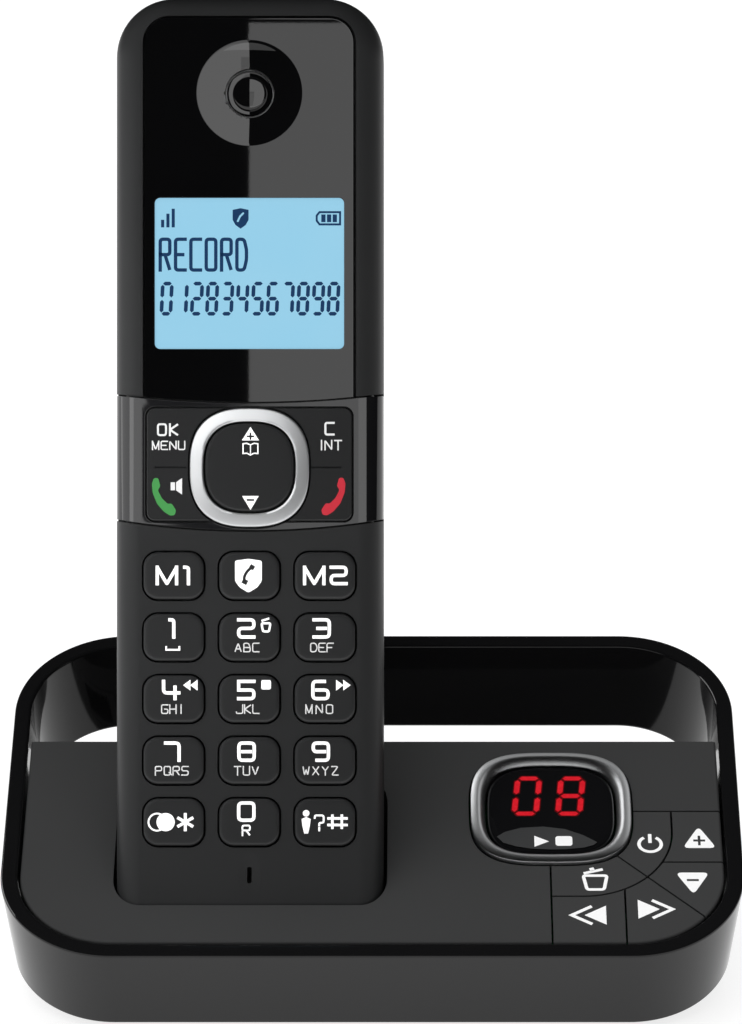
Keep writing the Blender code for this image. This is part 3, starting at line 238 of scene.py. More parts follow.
def finished(name, rough, matrix, materials, bevel=0, sharp=32):
    """The rough shape with its edges eased and its flats kept flat, put in its place."""
    if not rough.data.materials:
        for material in materials:
            rough.data.materials.append(material)
    if bevel:
        modifier = rough.modifiers.new("eased", "BEVEL")
        modifier.width = bevel
        modifier.segments = 2
        modifier.limit_method = "ANGLE"
        modifier.angle_limit = radians(40)
        modifier.use_clamp_overlap = True
    mesh = evaluated(rough)
    rough.modifiers.clear()
    rough.data = mesh
    mesh.shade_smooth()
    mesh.set_sharp_from_angle(angle=radians(sharp))
    weighted = rough.modifiers.new("flats", "WEIGHTED_NORMAL")
    weighted.keep_sharp = True
    mesh = evaluated(rough)
    bpy.data.objects.remove(rough)
    mesh.transform(matrix)
    mesh.name = name
    made = bpy.data.objects.new(name, mesh)
    bpy.context.scene.collection.objects.link(made)
    return made


def fit(piece, body, slot, *nodes):
    """The piece moves with the body and stands for the nodes. Its slot is not used."""
    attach(piece, body)
    if nodes:
        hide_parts(*nodes)


def merged_copy(node, local):
    """A node's mesh with its loose triangles merged, back in its millimetre frame."""
    bm = bmesh.new()
    bm.from_mesh(frame["nodes"][node].data)
    bm.transform(local.inverted())
    bmesh.ops.remove_doubles(bm, verts=bm.verts, dist=0.002)
    bmesh.ops.dissolve_limit(bm, angle_limit=radians(0.5), verts=bm.verts, edges=bm.edges)
    return object_of(bm, node)


def spread_by_nodes(name, points, inputs, build, material):
    """What one node tree spreads over points. The tree's own build gives its points and its form."""
    tree = bpy.data.node_groups.new(name, "GeometryNodeTree")
    face = tree.interface
    face.new_socket("Geometry", in_out="INPUT", socket_type="NodeSocketGeometry")
    sizes = {}
    for label, (kind, value) in inputs.items():
        sizes[label] = face.new_socket(label, in_out="INPUT", socket_type=kind)
        sizes[label].default_value = value
    face.new_socket("Geometry", in_out="OUTPUT", socket_type="NodeSocketGeometry")
    nodes, links = tree.nodes, tree.links
    places, form = build(nodes, links, nodes.new("NodeGroupInput").outputs)
    spread = nodes.new("GeometryNodeInstanceOnPoints")
    links.new(places, spread.inputs["Points"])
    links.new(form, spread.inputs["Instance"])
    real = nodes.new("GeometryNodeRealizeInstances")
    links.new(spread.outputs["Instances"], real.inputs["Geometry"])
    painted = nodes.new("GeometryNodeSetMaterial")
    painted.inputs["Material"].default_value = material
    links.new(real.outputs["Geometry"], painted.inputs["Geometry"])
    out = nodes.new("NodeGroupOutput")
    links.new(painted.outputs["Geometry"], out.inputs["Geometry"])
    bm = bmesh.new()
    for point in points:
        bm.verts.new(point)
    rough = object_of(bm, name)
    modifier = rough.modifiers.new(name, "NODES")
    modifier.node_group = tree
    for label, (kind, value) in inputs.items():
        modifier[sizes[label].identifier] = value
    mesh = evaluated(rough)
    rough.modifiers.clear()
    rough.data = mesh
    return rough


SCREW_PLACES = [(-30, 20, 1.45), (-30, 55, 1.45), (14, 16, 1.45), (14, 57, 1.45)]
SCREW_SIZES = {"Head Radius": ("NodeSocketFloat", 2.1), "Head Height": ("NodeSocketFloat", 0.5)}
RECESS_SHARES = ((1.3, 0.26, 0.5), (0.26, 1.3, 0.5))


def screw_head(nodes, links, given):
    """A cross-recess screw head, head down, on each of the given points."""
    head = nodes.new("GeometryNodeMeshCylinder")
    head.inputs["Vertices"].default_value = 28
    links.new(given["Head Radius"], head.inputs["Radius"])
    links.new(given["Head Height"], head.inputs["Depth"])
    carve = nodes.new("GeometryNodeMeshBoolean")
    carve.operation = "DIFFERENCE"
    links.new(head.outputs["Mesh"], carve.inputs["Mesh 1"])
    for size in RECESS_SHARES:
        slot = nodes.new("GeometryNodeMeshCube")
        scaled = nodes.new("ShaderNodeVectorMath")
        scaled.operation = "SCALE"
        scaled.inputs[0].default_value = size
        links.new(given["Head Radius"], scaled.inputs["Scale"])
        links.new(scaled.outputs["Vector"], slot.inputs["Size"])
        moved = nodes.new("GeometryNodeTransform")
        lowered = nodes.new("ShaderNodeCombineXYZ")
        half = nodes.new("ShaderNodeMath")
        half.operation = "MULTIPLY"
        half.inputs[1].default_value = -0.5
        links.new(given["Head Height"], half.inputs[0])
        links.new(half.outputs["Value"], lowered.inputs["Z"])
        links.new(lowered.outputs["Vector"], moved.inputs["Translation"])
        links.new(slot.outputs["Mesh"], moved.inputs["Geometry"])
        links.new(moved.outputs["Geometry"], carve.inputs["Mesh 2"])
    return given["Geometry"], carve.outputs["Mesh"]


housing_plastic = moulded("housing_plastic", (0.016, 0.0165, 0.017), (0.021, 0.0215, 0.022), 0.5)
rubber = moulded("foot_rubber", (0.016, 0.016, 0.016), (0.028, 0.028, 0.027), 0.78, 900, 0.00003)

housing = finished(
    "lower_housing", merged_copy("base_lower_housing", GROUND), GROUND, [housing_plastic], 0.25
)
fit(housing, "base", "black_matt", "base_lower_housing")
for index in range(4):
    node = f"rubber_foot_{index + 1}"
    foot = finished(f"foot_{index + 1}", merged_copy(node, GROUND), GROUND, [rubber], 0.3)
    fit(foot, "base", "rubber", node)

steel = Finish("screw_steel", Metallic=1.0)
brushed = steel.noise(900, 4)
steel.set("Base Color", steel.blend(brushed, (0.35, 0.35, 0.36, 1), (0.6, 0.6, 0.61, 1)))
steel.set("Roughness", 0.28 + 0.2 * brushed)
heads = spread_by_nodes(
    "underside_screws", SCREW_PLACES, SCREW_SIZES, screw_head, steel.material
)
screw_heads = finished("underside_screws", heads, GROUND, [steel.material])
fit(screw_heads, "base", "steel")


# Sockets in the rear wall
# Two modular sockets, one for the telephone line and one for the power lead, moulded black with gold
# spring wires on their floors. No lead is shown, so both are empty.

socket_plastic = moulded("socket_plastic", (0.010, 0.010, 0.011), (0.018, 0.018, 0.019), 0.35)
gold = Finish("gold_plate", Metallic=1.0)
worn = gold.noise(700, 3)
gold.set("Base Color", gold.blend(worn, (0.78, 0.55, 0.20, 1), (0.95, 0.74, 0.36, 1)))
gold.set("Roughness", 0.2 + 0.16 * worn)


WIRE_LENGTH, WIRE_RADIUS, WIRE_LEAN = 8, 0.2, radians(78)
SOCKET_FLOOR = 6.8

for node, count, middle, pitch in (
    ("line_socket", 6, -36, 1.02),
    ("power_socket", 2, -14, 2.4),
):
    socket = finished(f"{node}_body", merged_copy(node, GROUND), GROUND, [socket_plastic], 0.2)
    fit(socket, "base", "black_matt", node)
    start = (middle - pitch * (count - 1) / 2, 56, SOCKET_FLOOR + 1.6)

    def spring_wires(nodes, links, given):
        """A row of thin contact wires from the start."""
        step = nodes.new("ShaderNodeCombineXYZ")
        links.new(given["Pitch"], step.inputs["X"])
        line = nodes.new("GeometryNodeMeshLine")
        line.mode = "OFFSET"
        line.inputs["Start Location"].default_value = start
        links.new(given["Count"], line.inputs["Count"])
        links.new(step.outputs["Vector"], line.inputs["Offset"])
        wire = nodes.new("GeometryNodeMeshCylinder")
        wire.inputs["Vertices"].default_value = 10
        wire.inputs["Radius"].default_value = WIRE_RADIUS
        links.new(given["Length"], wire.inputs["Depth"])
        laid = nodes.new("GeometryNodeTransform")
        laid.inputs["Rotation"].default_value = (WIRE_LEAN, 0, 0)
        links.new(wire.outputs["Mesh"], laid.inputs["Geometry"])
        return line.outputs["Mesh"], laid.outputs["Geometry"]

    sizes = {
        "Count": ("NodeSocketInt", count),
        "Pitch": ("NodeSocketFloat", pitch),
        "Length": ("NodeSocketFloat", WIRE_LENGTH),
    }
    wires = spread_by_nodes(f"{node}_wires", [], sizes, spring_wires, gold.material)
    contacts = finished(f"{node}_contacts", wires, GROUND, [gold.material])
    fit(contacts, "base", "gold")


# Gloss loop round the base
# One moulding in polished black plastic. It is the base's front and side wall, and stands free at the
# back as an arch. Its section leans in towards its foot, with rounded edges.

LOOP_WIDTH, LOOP_DEPTH, LOOP_CORNER = 131.3, 81.9, 20.4
LOOP_WALL, LOOP_HEIGHT, LOOP_TAPER, LOOP_EDGE = 3.0, 19.3, 1.76, 0.7


def polished(name, colour, roughness=0.05, smudge=0.05, gloss=0.5):
    """Polished plastic with the faint smears that handling leaves."""
    made = Finish(name, Specular_IOR_Level=gloss)
    smear = made.noise(45, 4)
    dust = made.noise(3200, 2)
    made.set("Base Color", made.blend(smear, (*colour, 1), tuple(1.25 * c for c in colour) + (1,)))
    made.set("Roughness", roughness + smudge * smear * smear)
    made.bump(dust, 0.0000004, 0.2)
    return made.material


def arc(centre, radius, start, end, steps):
    turns = [start + (end - start) * step / steps for step in range(steps + 1)]
    return [(centre[0] + radius * cos(turn), centre[1] + radius * sin(turn)) for turn in turns]


def rounded(left, right, foot, top, radius, foot_radius=None, steps=14):
    """A rectangle's outline, anticlockwise, with its own radius for the two lower corners."""
    foot_radius = radius if foot_radius is None else foot_radius
    outline = []
    for x, y, corner, inward_x, inward_y, start in (
        (left, foot, foot_radius, 1, 1, pi),
        (right, foot, foot_radius, -1, 1, 1.5 * pi),
        (right, top, radius, -1, -1, 0),
        (left, top, radius, 1, -1, 0.5 * pi),
    ):
        if corner <= 0:
            outline.append((x, y))
            continue
        centre = (x + inward_x * corner, y + inward_y * corner)
        outline += arc(centre, corner, start, start + 0.5 * pi, steps)
    return outline


def lofted(name, shape, profile, hoop=False):
    """Rings of the outline shape(inset) at the profile's (inset, height) points, joined by faces.
    A hoop joins its last ring to its first, and any other form is capped at both ends."""
    bm = bmesh.new()
    rings = []
    for inset, height in profile:
        rings.append([bm.verts.new((x, y, height)) for x, y in shape(inset)])
    if hoop:
        rings.append(rings[0])
    for low, high in zip(rings, rings[1:]):
        for index in range(len(low)):
            after = (index + 1) % len(low)
            bm.faces.new((low[index], low[after], high[after], high[index]))
    if not hoop:
        bm.faces.new(list(reversed(rings[0])))
        bm.faces.new(rings[-1])
    bmesh.ops.recalc_face_normals(bm, faces=bm.faces)
    return object_of(bm, name)


def eased(low, high, round_low, round_high, steps=5):
    """A wall's profile from low to high, with its two edges rounded."""
    points = []
    for step in range(steps + 1):
        turn = 0.5 * pi * step / steps
        if round_low or step == steps:
            points.append((round_low * (1 - sin(turn)), low + round_low * (1 - cos(turn))))
    for step in range(steps + 1):
        turn = 0.5 * pi * step / steps
        if round_high or step == 0:
            points.append((round_high * (1 - cos(turn)), high - round_high * (1 - sin(turn))))
    return points


def loop_outline(inset):
    half = LOOP_WIDTH / 2 - inset
    return rounded(-half, half, inset, LOOP_DEPTH - inset, LOOP_CORNER - inset, steps=30)


loop_plastic = polished("loop_plastic", (0.005, 0.005, 0.0053), 0.06, 0.05, 0.33)
section = [
    (x - LOOP_TAPER * y / LOOP_HEIGHT, y)
    for x, y in rounded(0, LOOP_WALL, -LOOP_HEIGHT, 0, LOOP_EDGE, steps=7)
]
loop = finished(
    "gloss_loop", lofted("gloss_loop", loop_outline, section, hoop=True), DECK, [loop_plastic]
)
fit(loop, "base", "black_gloss", "base_ring")


# Deck with the handset's pocket
# The base's top plate, satin black with a fine spark-eroded grain. The pocket that holds the handset
# is moulded into it, and the counter and the keys come up through it.

DECK_DROP, DECK_THICKNESS, DECK_BACK, DECK_EDGE = 0.5, 2.0, 53.9, 0.5
GAP = 0.3
HANDSET_WIDTH, HANDSET_LENGTH, HANDSET_DEPTH = 47, 166.5, 24
FOOT_PLACE = DECK @ Vector((-21.5, 13.2, -DECK_DROP))
FOOT_PLACE -= 7.6 * MM * Vector((0, sin(LEAN), cos(LEAN)))
HANDSET = (
    Matrix.Translation(FOOT_PLACE) @ Matrix.Rotation(pi / 2 - LEAN, 4, "X") @ Matrix.Scale(MM, 4)
)
POCKET = Matrix.Translation(FOOT_PLACE) @ Matrix.Rotation(-LEAN, 4, "X") @ Matrix.Scale(MM, 4)
COUNTER = (31.85, 36.4)
KEYS_LEFT, KEYS_BACK = 31.5, 35.9


def combined(base, operation, *tools):
    """The base shape joined with, cut by or kept inside each tool, which is used up."""
    for tool in tools:
        modifier = base.modifiers.new(tool.name, "BOOLEAN")
        modifier.operation = operation
        modifier.object = tool
        modifier.solver = "EXACT"
    mesh = evaluated(base)
    base.modifiers.clear()
    base.data = mesh
    for tool in tools:
        bpy.data.objects.remove(tool)
    return base


def block(left, right, front, back, low, high):
    outline = [(left, front), (right, front), (right, back), (left, back)]
    return lofted("block", lambda inset: outline, [(0, low), (0, high)])


def prism(outline, low, high):
    return lofted("prism", lambda inset: outline, [(0, low), (0, high)])


def moved(obj, matrix):
    obj.data.transform(matrix)
    return obj


def superellipse(half_width, half_height, power, steps=96):
    outline = []
    for step in range(steps):
        turn = 2 * pi * step / steps
        x, y = cos(turn), sin(turn)
        reach = (abs(x) ** power + abs(y) ** power) ** (-1 / power)
        outline.append((half_width * reach * x, half_height * reach * y))
    return outline


def shifted(outline, place):
    return [(x + place[0], y + place[1]) for x, y in outline]


def deck_outline(inset):
    """The plate's outline, clear of the loop's leaning wall."""
    clear = LOOP_WALL + GAP + LOOP_TAPER * (DECK_DROP + DECK_THICKNESS) / LOOP_HEIGHT
    half = LOOP_WIDTH / 2 - clear - inset
    corner = LOOP_CORNER - clear - inset
    return rounded(-half, half, clear + inset, DECK_BACK - 0.3 * inset, 0, corner, steps=30)


def deck_plate(name):
    top = -DECK_DROP
    return lofted(name, deck_outline, eased(top - DECK_THICKNESS, top, 0, DECK_EDGE))


def bezel_outline(outward):
    return shifted(superellipse(14.4 + outward, 13.9 + outward, 3.2), COUNTER)


def pocket_outline(outward):
    half = HANDSET_WIDTH / 2 + 0.6 + outward
    return rounded(
        -half, half, -0.4 - outward, HANDSET_DEPTH + 0.6 + outward, 6 + outward, 4.8 + outward
    )


deck_plastic = moulded("deck_plastic", (0.036, 0.0365, 0.037), (0.041, 0.0415, 0.042), 0.42)
to_deck = DECK.inverted() @ POCKET
middle = -DECK_DROP - DECK_THICKNESS / 2
shell = moved(prism(pocket_outline(1.2), -1.6, 80), to_deck)
shell = combined(shell, "DIFFERENCE", block(-200, 200, -200, 200, middle, 200))
HOLLOW_PROFILE = [(0.6, -0.4), (0.2, -0.25), (0, 0.2), (0, 90)]
hollow = lofted("hollow", lambda inset: pocket_outline(-inset), HOLLOW_PROFILE)
hollow = moved(hollow, to_deck)
plate = combined(deck_plate("deck"), "UNION", shell)
plate = combined(
    plate,
    "DIFFERENCE",
    hollow,
    block(KEYS_LEFT - GAP / 2, 200, -200, KEYS_BACK + GAP / 2, -20, 20),
    prism(bezel_outline(GAP), -20, 20),
)
deck = finished("deck", plate, DECK, [deck_plastic], 0.12)
fit(deck, "base", "black_matt", "base_deck")


# Message counter
# A satin chrome frame pressed into the deck round a smoked lens, which is also the play and stop key.
# Two red figures of seven segments light up in it.

WHITE = (0.86, 0.86, 0.86)
INK_DEPTH, INK_RISE = 0.02, 0.012


def opened(obj):
    bm = bmesh.new()
    bm.from_mesh(obj.data)
    return bm


def stored(bm, obj):
    bm.to_mesh(obj.data)
    bm.free()


def inlaid(bm, outline, height, material, rise=INK_RISE):
    """A thin filled shape let into a surface at that height."""
    low, high = [
        [bm.verts.new((x, y, level)) for x, y in outline]
        for level in (height - INK_DEPTH, height + rise)
    ]
    faces = [bm.faces.new(list(reversed(low))), bm.faces.new(high)]
    for index in range(len(outline)):
        after = (index + 1) % len(outline)
        faces.append(bm.faces.new((low[index], low[after], high[after], high[index])))
    for face in faces:
        face.material_index = material


def segment(x, y, length, thickness, upright):
    """A bar with pointed ends, about its middle."""
    half, point = length / 2, thickness / 2
    bar = [
        (-half, 0),
        (-half + point, -point),
        (half - point, -point),
        (half, 0),
        (half - point, point),
        (-half + point, point),
    ]
    if upright:
        bar = [(-b, a) for a, b in bar]
    return [(x + a, y + b) for a, b in bar]


SEGMENTS = {
    "0": "abcdef", "1": "bc", "2": "abged", "3": "abgcd", "4": "fgbc", "5": "afgcd",
    "6": "afgedc", "7": "abc", "8": "abcdefg", "9": "abcdfg",
}


def figure(digit, left, foot, width, height, thickness, slant, apart=1.1):
    """The lit segments of one figure, leaning by the slant."""
    middle_x, middle_y = left + width / 2, foot + height / 2
    across, up = width - apart * thickness, height / 2 - apart * thickness
    quarter = height / 4 - thickness / 4
    side = width / 2 - thickness / 2
    top = height / 2 - thickness / 2
    places = {
        "a": (0, top, across, False),
        "d": (0, -top, across, False),
        "g": (0, 0, across, False),
        "b": (side, quarter, up, True),
        "c": (side, -quarter, up, True),
        "f": (-side, quarter, up, True),
        "e": (-side, -quarter, up, True),
    }
    outlines = []
    for name in SEGMENTS[digit]:
        x, y, length, upright = places[name]
        bar = segment(x, y, length, thickness, upright)
        outlines.append([(middle_x + a + slant * b, middle_y + b) for a, b in bar])
    return outlines


chrome = Finish("satin_chrome", Metallic=1.0)
grain = chrome.noise(60, 3)
speck = chrome.noise(2500, 2)
chrome.set("Base Color", chrome.blend(grain, (0.66, 0.67, 0.68, 1), (0.78, 0.79, 0.80, 1)))
chrome.set("Roughness", 0.34 + 0.08 * grain)
chrome.bump(speck, 0.000002, 0.4)

BEZEL_PROFILE = [
    (0, -2.5), (0, 0.0), (0.08, 0.16), (0.3, 0.3), (0.65, 0.41), (1.1, 0.5), (1.45, 0.47),
    (1.8, 0.28), (2.15, -0.1), (2.45, -0.6), (2.65, -1.1), (2.7, -1.4), (2.7, -2.5),
]
bezel = finished(
    "counter_bezel",
    lofted("bezel", lambda inset: bezel_outline(-inset), BEZEL_PROFILE, hoop=True),
    DECK,
    [chrome.material],
)
fit(bezel, "base", "chrome", "display_bezel")

lens_plastic = polished("lens_plastic", (0.0045, 0.0045, 0.005), 0.04, 0.03)
crescent = Finish("lens_crescent", Coat_Weight=0.3, Coat_Roughness=0.05)
haze = crescent.noise(160, 2)
hazy = crescent.blend(haze, (0.036, 0.037, 0.038, 1), (0.046, 0.047, 0.048, 1))
crescent.set("Base Color", hazy)
crescent.set("Roughness", 0.3 + 0.1 * haze)


def printed(name, colour, painted_glow=0.0):
    """Opaque printing ink, a little uneven where it was laid down, with an optional painted glow."""
    made = Finish(name, Roughness=0.45)
    uneven = made.noise(1800, 2)
    faded = tuple(0.94 * c for c in colour)
    ink = made.blend(uneven, (*faded, 1), (*colour, 1))
    made.set("Base Color", ink)
    # The glow is painted light: the ink shines by itself, though it is no lamp.
    if painted_glow:
        made.set("Emission Color", ink)
        made.shader.inputs["Emission Strength"].default_value = painted_glow
    return made.material


# The white print has a faint painted glow.
white_ink = printed("white_ink", WHITE, 0.12)
figure_red = Finish("lit_red", Roughness=0.3, Specular_IOR_Level=0.2, Emission_Strength=1)
cell = figure_red.noise(1400, 1)
lit = figure_red.blend(cell, (0.42, 0.003, 0.011, 1), (0.68, 0.014, 0.024, 1))
figure_red.set("Emission Color", lit)
unlit = figure_red.blend(cell, (0.08, 0.001, 0.002, 1), (0.12, 0.002, 0.004, 1))
figure_red.set("Base Color", unlit)
glow_red = Finish("red_glow", Roughness=0.2, Emission_Strength=0.12)
dim = glow_red.blend(glow_red.noise(900, 1), (0.09, 0.001, 0.002, 1), (0.15, 0.002, 0.004, 1))
glow_red.set("Emission Color", dim)
glow_red.set("Base Color", dim)


def widened(bar):
    """A lit segment's outline moved outwards, for the glow round it."""
    middle = [sum(axis) / len(bar) for axis in zip(*bar)]
    return [
        [m + (p - m) * 1.1 + (0.12 if p > m else -0.12) for p, m in zip(point, middle)]
        for point in bar
    ]


LENS_TOP = -0.3
LENS_PROFILE = [
    (0, -2.8), (0, -1.15), (0.12, -0.85), (0.35, -0.62), (0.75, -0.48), (1.6, -0.38),
    (3.2, -0.31), (6, -0.3), (10.5, -0.3),
]
lens = lofted("lens", lambda inset: bezel_outline(-3.0 - inset), LENS_PROFILE)
bm = opened(lens)
sickle = [(22.1, 29.3), (23.6, 30.5), (26.4, 31.5), (30.4, 31.8), (34.2, 31.2), (37.4, 29.7)]
sickle += [(39.9, 27.9), (39.2, 27.2), (37.6, 26.6), (34.6, 26.2), (31.5, 26.1), (28.2, 26.3)]
sickle += [(25.4, 26.9), (23.2, 27.8)]
inlaid(bm, sickle[::-1], LENS_TOP, 1, rise=INK_RISE / 2)
for digit, left in (("0", 25.2), ("8", 33.0)):
    for bar in figure(digit, left, 34.6, 4.85, 9.9, 0.95, 0.09, 1.5):
        inlaid(bm, widened(bar), LENS_TOP, 3, rise=INK_RISE / 2)
        inlaid(bm, bar, LENS_TOP, 2)
play = [(28.75, 26.75), (31.35, 28.1), (28.75, 29.5)]
inlaid(bm, play, LENS_TOP, 4)
inlaid(bm, rounded(32.5, 35.5, 27.0, 29.4, 0.5, steps=4), LENS_TOP, 4)
stored(bm, lens)
lens_key = finished(
    "play_stop_lens",
    lens,
    DECK,
    [lens_plastic, crescent.material, figure_red.material, glow_red.material, white_ink],
)
fit(lens_key, "play_stop_key", "lens_smoke", "play_stop_key")


# Base keys
# Six keys of satin plastic fill the deck's front right corner, parted by thin seams. The power and
# delete keys curve round the counter. Their signs are printed in white.

KEY_BOUNDS = {"right": 53.3, "front": 14.8, "corner": 16.2, "volume": 23.2, "skip": 44.45}


def inner_keys_outline(outward):
    return rounded(
        KEYS_LEFT - KEYS_BACK,
        KEY_BOUNDS["right"] + outward,
        KEY_BOUNDS["front"] - outward,
        KEY_BOUNDS["right"] + KEYS_BACK,
        0,
        KEY_BOUNDS["corner"] + outward,
        steps=24,
    )


def inset_polygon(outline, distance):
    """The anticlockwise outline with each side moved inwards."""
    made = []
    for index, here in enumerate(outline):
        before = Vector(here) - Vector(outline[index - 1])
        after = Vector(outline[(index + 1) % len(outline)]) - Vector(here)
        first = Vector((-before.y, before.x)).normalized()
        second = Vector((-after.y, after.x)).normalized()
        shift = (first + second) * distance / (1 + first.dot(second))
        made.append((here[0] + shift.x, here[1] + shift.y))
    return made


def ribbon(bm, path, width, height, material, closed=False):
    """A stroke of that width along the path, let into a surface at that height."""
    count = len(path)
    rows = []
    for index, here in enumerate(path):
        before = path[index - 1] if closed or index else None
        after = path[(index + 1) % count] if closed or index < count - 1 else None
        here = Vector(here)
        first = (here - Vector(before)).normalized() if before else None
        second = (Vector(after) - here).normalized() if after else None
        first = first or second
        second = second or first
        normal = Vector((-first.y - second.y, first.x + second.x))
        normal = normal / max(0.4, (1 + first.dot(second)))
        side = normal * width / 2
        row = []
        for level in (height - INK_DEPTH, height + INK_RISE):
            row.append(bm.verts.new((here.x + side.x, here.y + side.y, level)))
            row.append(bm.verts.new((here.x - side.x, here.y - side.y, level)))
        rows.append(row)
    pairs = list(zip(rows, rows[1:])) + ([(rows[-1], rows[0])] if closed else [])
    faces = []
    for (al, ar, at, au), (bl, br, bt, bu) in pairs:
        faces.append(bm.faces.new((at, au, bu, bt)))
        faces.append(bm.faces.new((al, bl, br, ar)))
        faces.append(bm.faces.new((al, at, bt, bl)))
        faces.append(bm.faces.new((ar, br, bu, au)))
    if not closed:
        al, ar, at, au = rows[0]
        faces.append(bm.faces.new((al, ar, au, at)))
        al, ar, at, au = rows[-1]
        faces.append(bm.faces.new((al, at, au, ar)))
    for face in faces:
        face.material_index = material


def softened(path, radius, closed=False, steps=4):
    """The path with its corners rounded."""
    made = []
    count = len(path)
    for index, here in enumerate(path):
        if not closed and index in (0, count - 1):
            made.append(here)
            continue
        here = Vector(here)
        before = Vector(path[index - 1])
        after = Vector(path[(index + 1) % count])
        reach = min(radius, (before - here).length / 2.01, (after - here).length / 2.01)
        start = here + (before - here).normalized() * reach
        end = here + (after - here).normalized() * reach
        for step in range(steps + 1):
            share = step / steps
            point = (1 - share) ** 2 * start + 2 * share * (1 - share) * here + share**2 * end
            made.append((point.x, point.y))
    return made


def power_sign(bm, x, y, radius, height, material):
    ring = arc((x, y), radius, radians(122), radians(418), 26)
    squashed = [(a, y + (b - y) * 0.95) for a, b in ring]
    ribbon(bm, squashed, 0.62, height, material)
    ribbon(bm, [(x, y + 0.3), (x, y + radius + 0.55)], 0.62, height, material)


def triangle_sign(bm, x, y, half, drop, up, bar_upright, height, material, dark):
    """A rounded triangle with a plus or a minus left dark in it."""
    tip = up * drop
    corners = [(x - half, y - tip), (x + half, y - tip), (x, y + 1.75 * tip)]
    if up < 0:
        corners.reverse()
    inlaid(bm, softened(corners, 1.15, closed=True), height, material)
    cross = y - 0.05 * tip
    ribbon(bm, [(x - 1.05, cross), (x + 1.05, cross)], 0.5, height + 0.006, dark)
    if bar_upright:
        ribbon(bm, [(x, cross - 1.2), (x, cross + 1.2)], 0.46, height + 0.007, dark)


def skip_sign(bm, x, y, way, height, material):
    """A filled triangle with an outlined chevron beyond it."""
    solid = [(x - way * 3.3, y - 2.3), (x + way * 0.5, y), (x - way * 3.3, y + 2.3)]
    if way < 0:
        solid.reverse()
    inlaid(bm, solid, height, material)
    chevron = [(x - way * 0.8, y - 2.15), (x + way * 2.75, y), (x - way * 0.8, y + 2.15)]
    ribbon(bm, chevron, 0.62, height, material)


def bin_sign(bm, x, y, height, material):
    tub = [(x - 2.1, y + 1.3), (x - 1.5, y - 2.1), (x + 1.5, y - 2.1), (x + 2.1, y + 1.3)]
    ribbon(bm, softened(tub, 0.5, closed=True), 0.6, height, material, closed=True)
    ribbon(bm, [(x - 2.0, y + 1.85), (x + 1.4, y + 2.85)], 0.6, height, material)
    ribbon(bm, [(x - 0.9, y + 2.7), (x - 0.1, y + 2.95)], 0.85, height, material)


key_plastic = moulded("base_key_plastic", (0.038, 0.0385, 0.039), (0.043, 0.0435, 0.044), 0.4)
right, front = KEY_BOUNDS["right"], KEY_BOUNDS["front"]
volume, skip = KEY_BOUNDS["volume"], KEY_BOUNDS["skip"]
turn_sum = right + front
near, far = -10, 90
BASE_KEYS = {
    "power_key": (True, [(right, front), (right, KEYS_BACK), (turn_sum - KEYS_BACK, KEYS_BACK)]),
    "delete_key": (
        True,
        [(KEYS_LEFT, front), (right, front), (turn_sum - KEYS_BACK, KEYS_BACK), (KEYS_LEFT, KEYS_BACK)],
    ),
    "volume_up_key": (
        False,
        [(turn_sum - volume, volume), (far, volume), (far, KEYS_BACK), (turn_sum - volume, KEYS_BACK)],
    ),
    "volume_down_key": (
        False,
        [(turn_sum - volume, volume), (turn_sum - near, near), (turn_sum - near, volume)],
    ),
    "skip_forward_key": (False, [(skip, near), (turn_sum - near, near), (skip, turn_sum - skip)]),
    "skip_back_key": (
        False,
        [(KEYS_LEFT, near), (skip, near), (skip, turn_sum - skip), (KEYS_LEFT, turn_sum - skip)],
    ),
}
for name, (inner, outline) in BASE_KEYS.items():
    tile = deck_plate(name)
    tile = combined(tile, "INTERSECT", prism(inset_polygon(outline, GAP / 2), -20, 20))
    if inner:
        tile = combined(tile, "INTERSECT", prism(inner_keys_outline(-GAP / 2), -20, 20))
        tile = combined(tile, "DIFFERENCE", prism(bezel_outline(GAP), -20, 20))
    else:
        tile = combined(tile, "DIFFERENCE", prism(inner_keys_outline(GAP / 2), -20, 20))
    body = finished(name + "_cap", tile, Matrix.Identity(4), [key_plastic], 0.12)
    bm = opened(body)
    top = -DECK_DROP
    if name == "power_key":
        power_sign(bm, 49.3, 27.6, 1.98, top, 1)
    elif name == "delete_key":
        bin_sign(bm, 39.3, 18.5, top, 1)
    elif name == "volume_up_key":
        triangle_sign(bm, 58.05, 28.6, 3.0, 1.95, 1, True, top, 1, 0)
    elif name == "volume_down_key":
        triangle_sign(bm, 56.5, 18.6, 3.0, 1.95, -1, False, top, 1, 0)
    elif name == "skip_forward_key":
        skip_sign(bm, 49.9, 11.6, 1, top, 1)
    else:
        skip_sign(bm, 37.7, 10.15, -1, top, 1)
    bm.transform(DECK)
    stored(bm, body)
    body.data.materials.append(white_ink)
    fit(body, name, "key_grey", name)


# Handset shells
# Front and rear shells of satin black plastic meet at a parting line behind the face. The front one
# has its face crowned towards the sides, and holes for the keys, the microphone and the gloss inlays.

TOP_CORNER, FOOT_CORNER, PARTING = 10.3, 6.5, 8.0
FACE_EDGE = 4.4


def face_profile(depth):
    """The face's rounded edge, from that depth below it."""
    points = [(0, -depth)]
    for step in range(11):
        turn = 0.5 * pi * step / 10
        points.append((FACE_EDGE * (1 - cos(turn)), FACE_EDGE * (sin(turn) - 1)))
    return points


SHARES_FROM_TOP = {
    "dish": 16.9, "lcd": 48.56, "collar_top": 71.35, "collar_foot": 93.6, "function_top": 71.9,
    "function_foot": 92.25, "navigation": 82.6, "keys": 101.6, "microphone": 154.1,
    "handsfree": 36.0,
}


def along(name):
    """The height up the handset of a feature, which is measured from the top."""
    return HANDSET_LENGTH - SHARES_FROM_TOP[name]


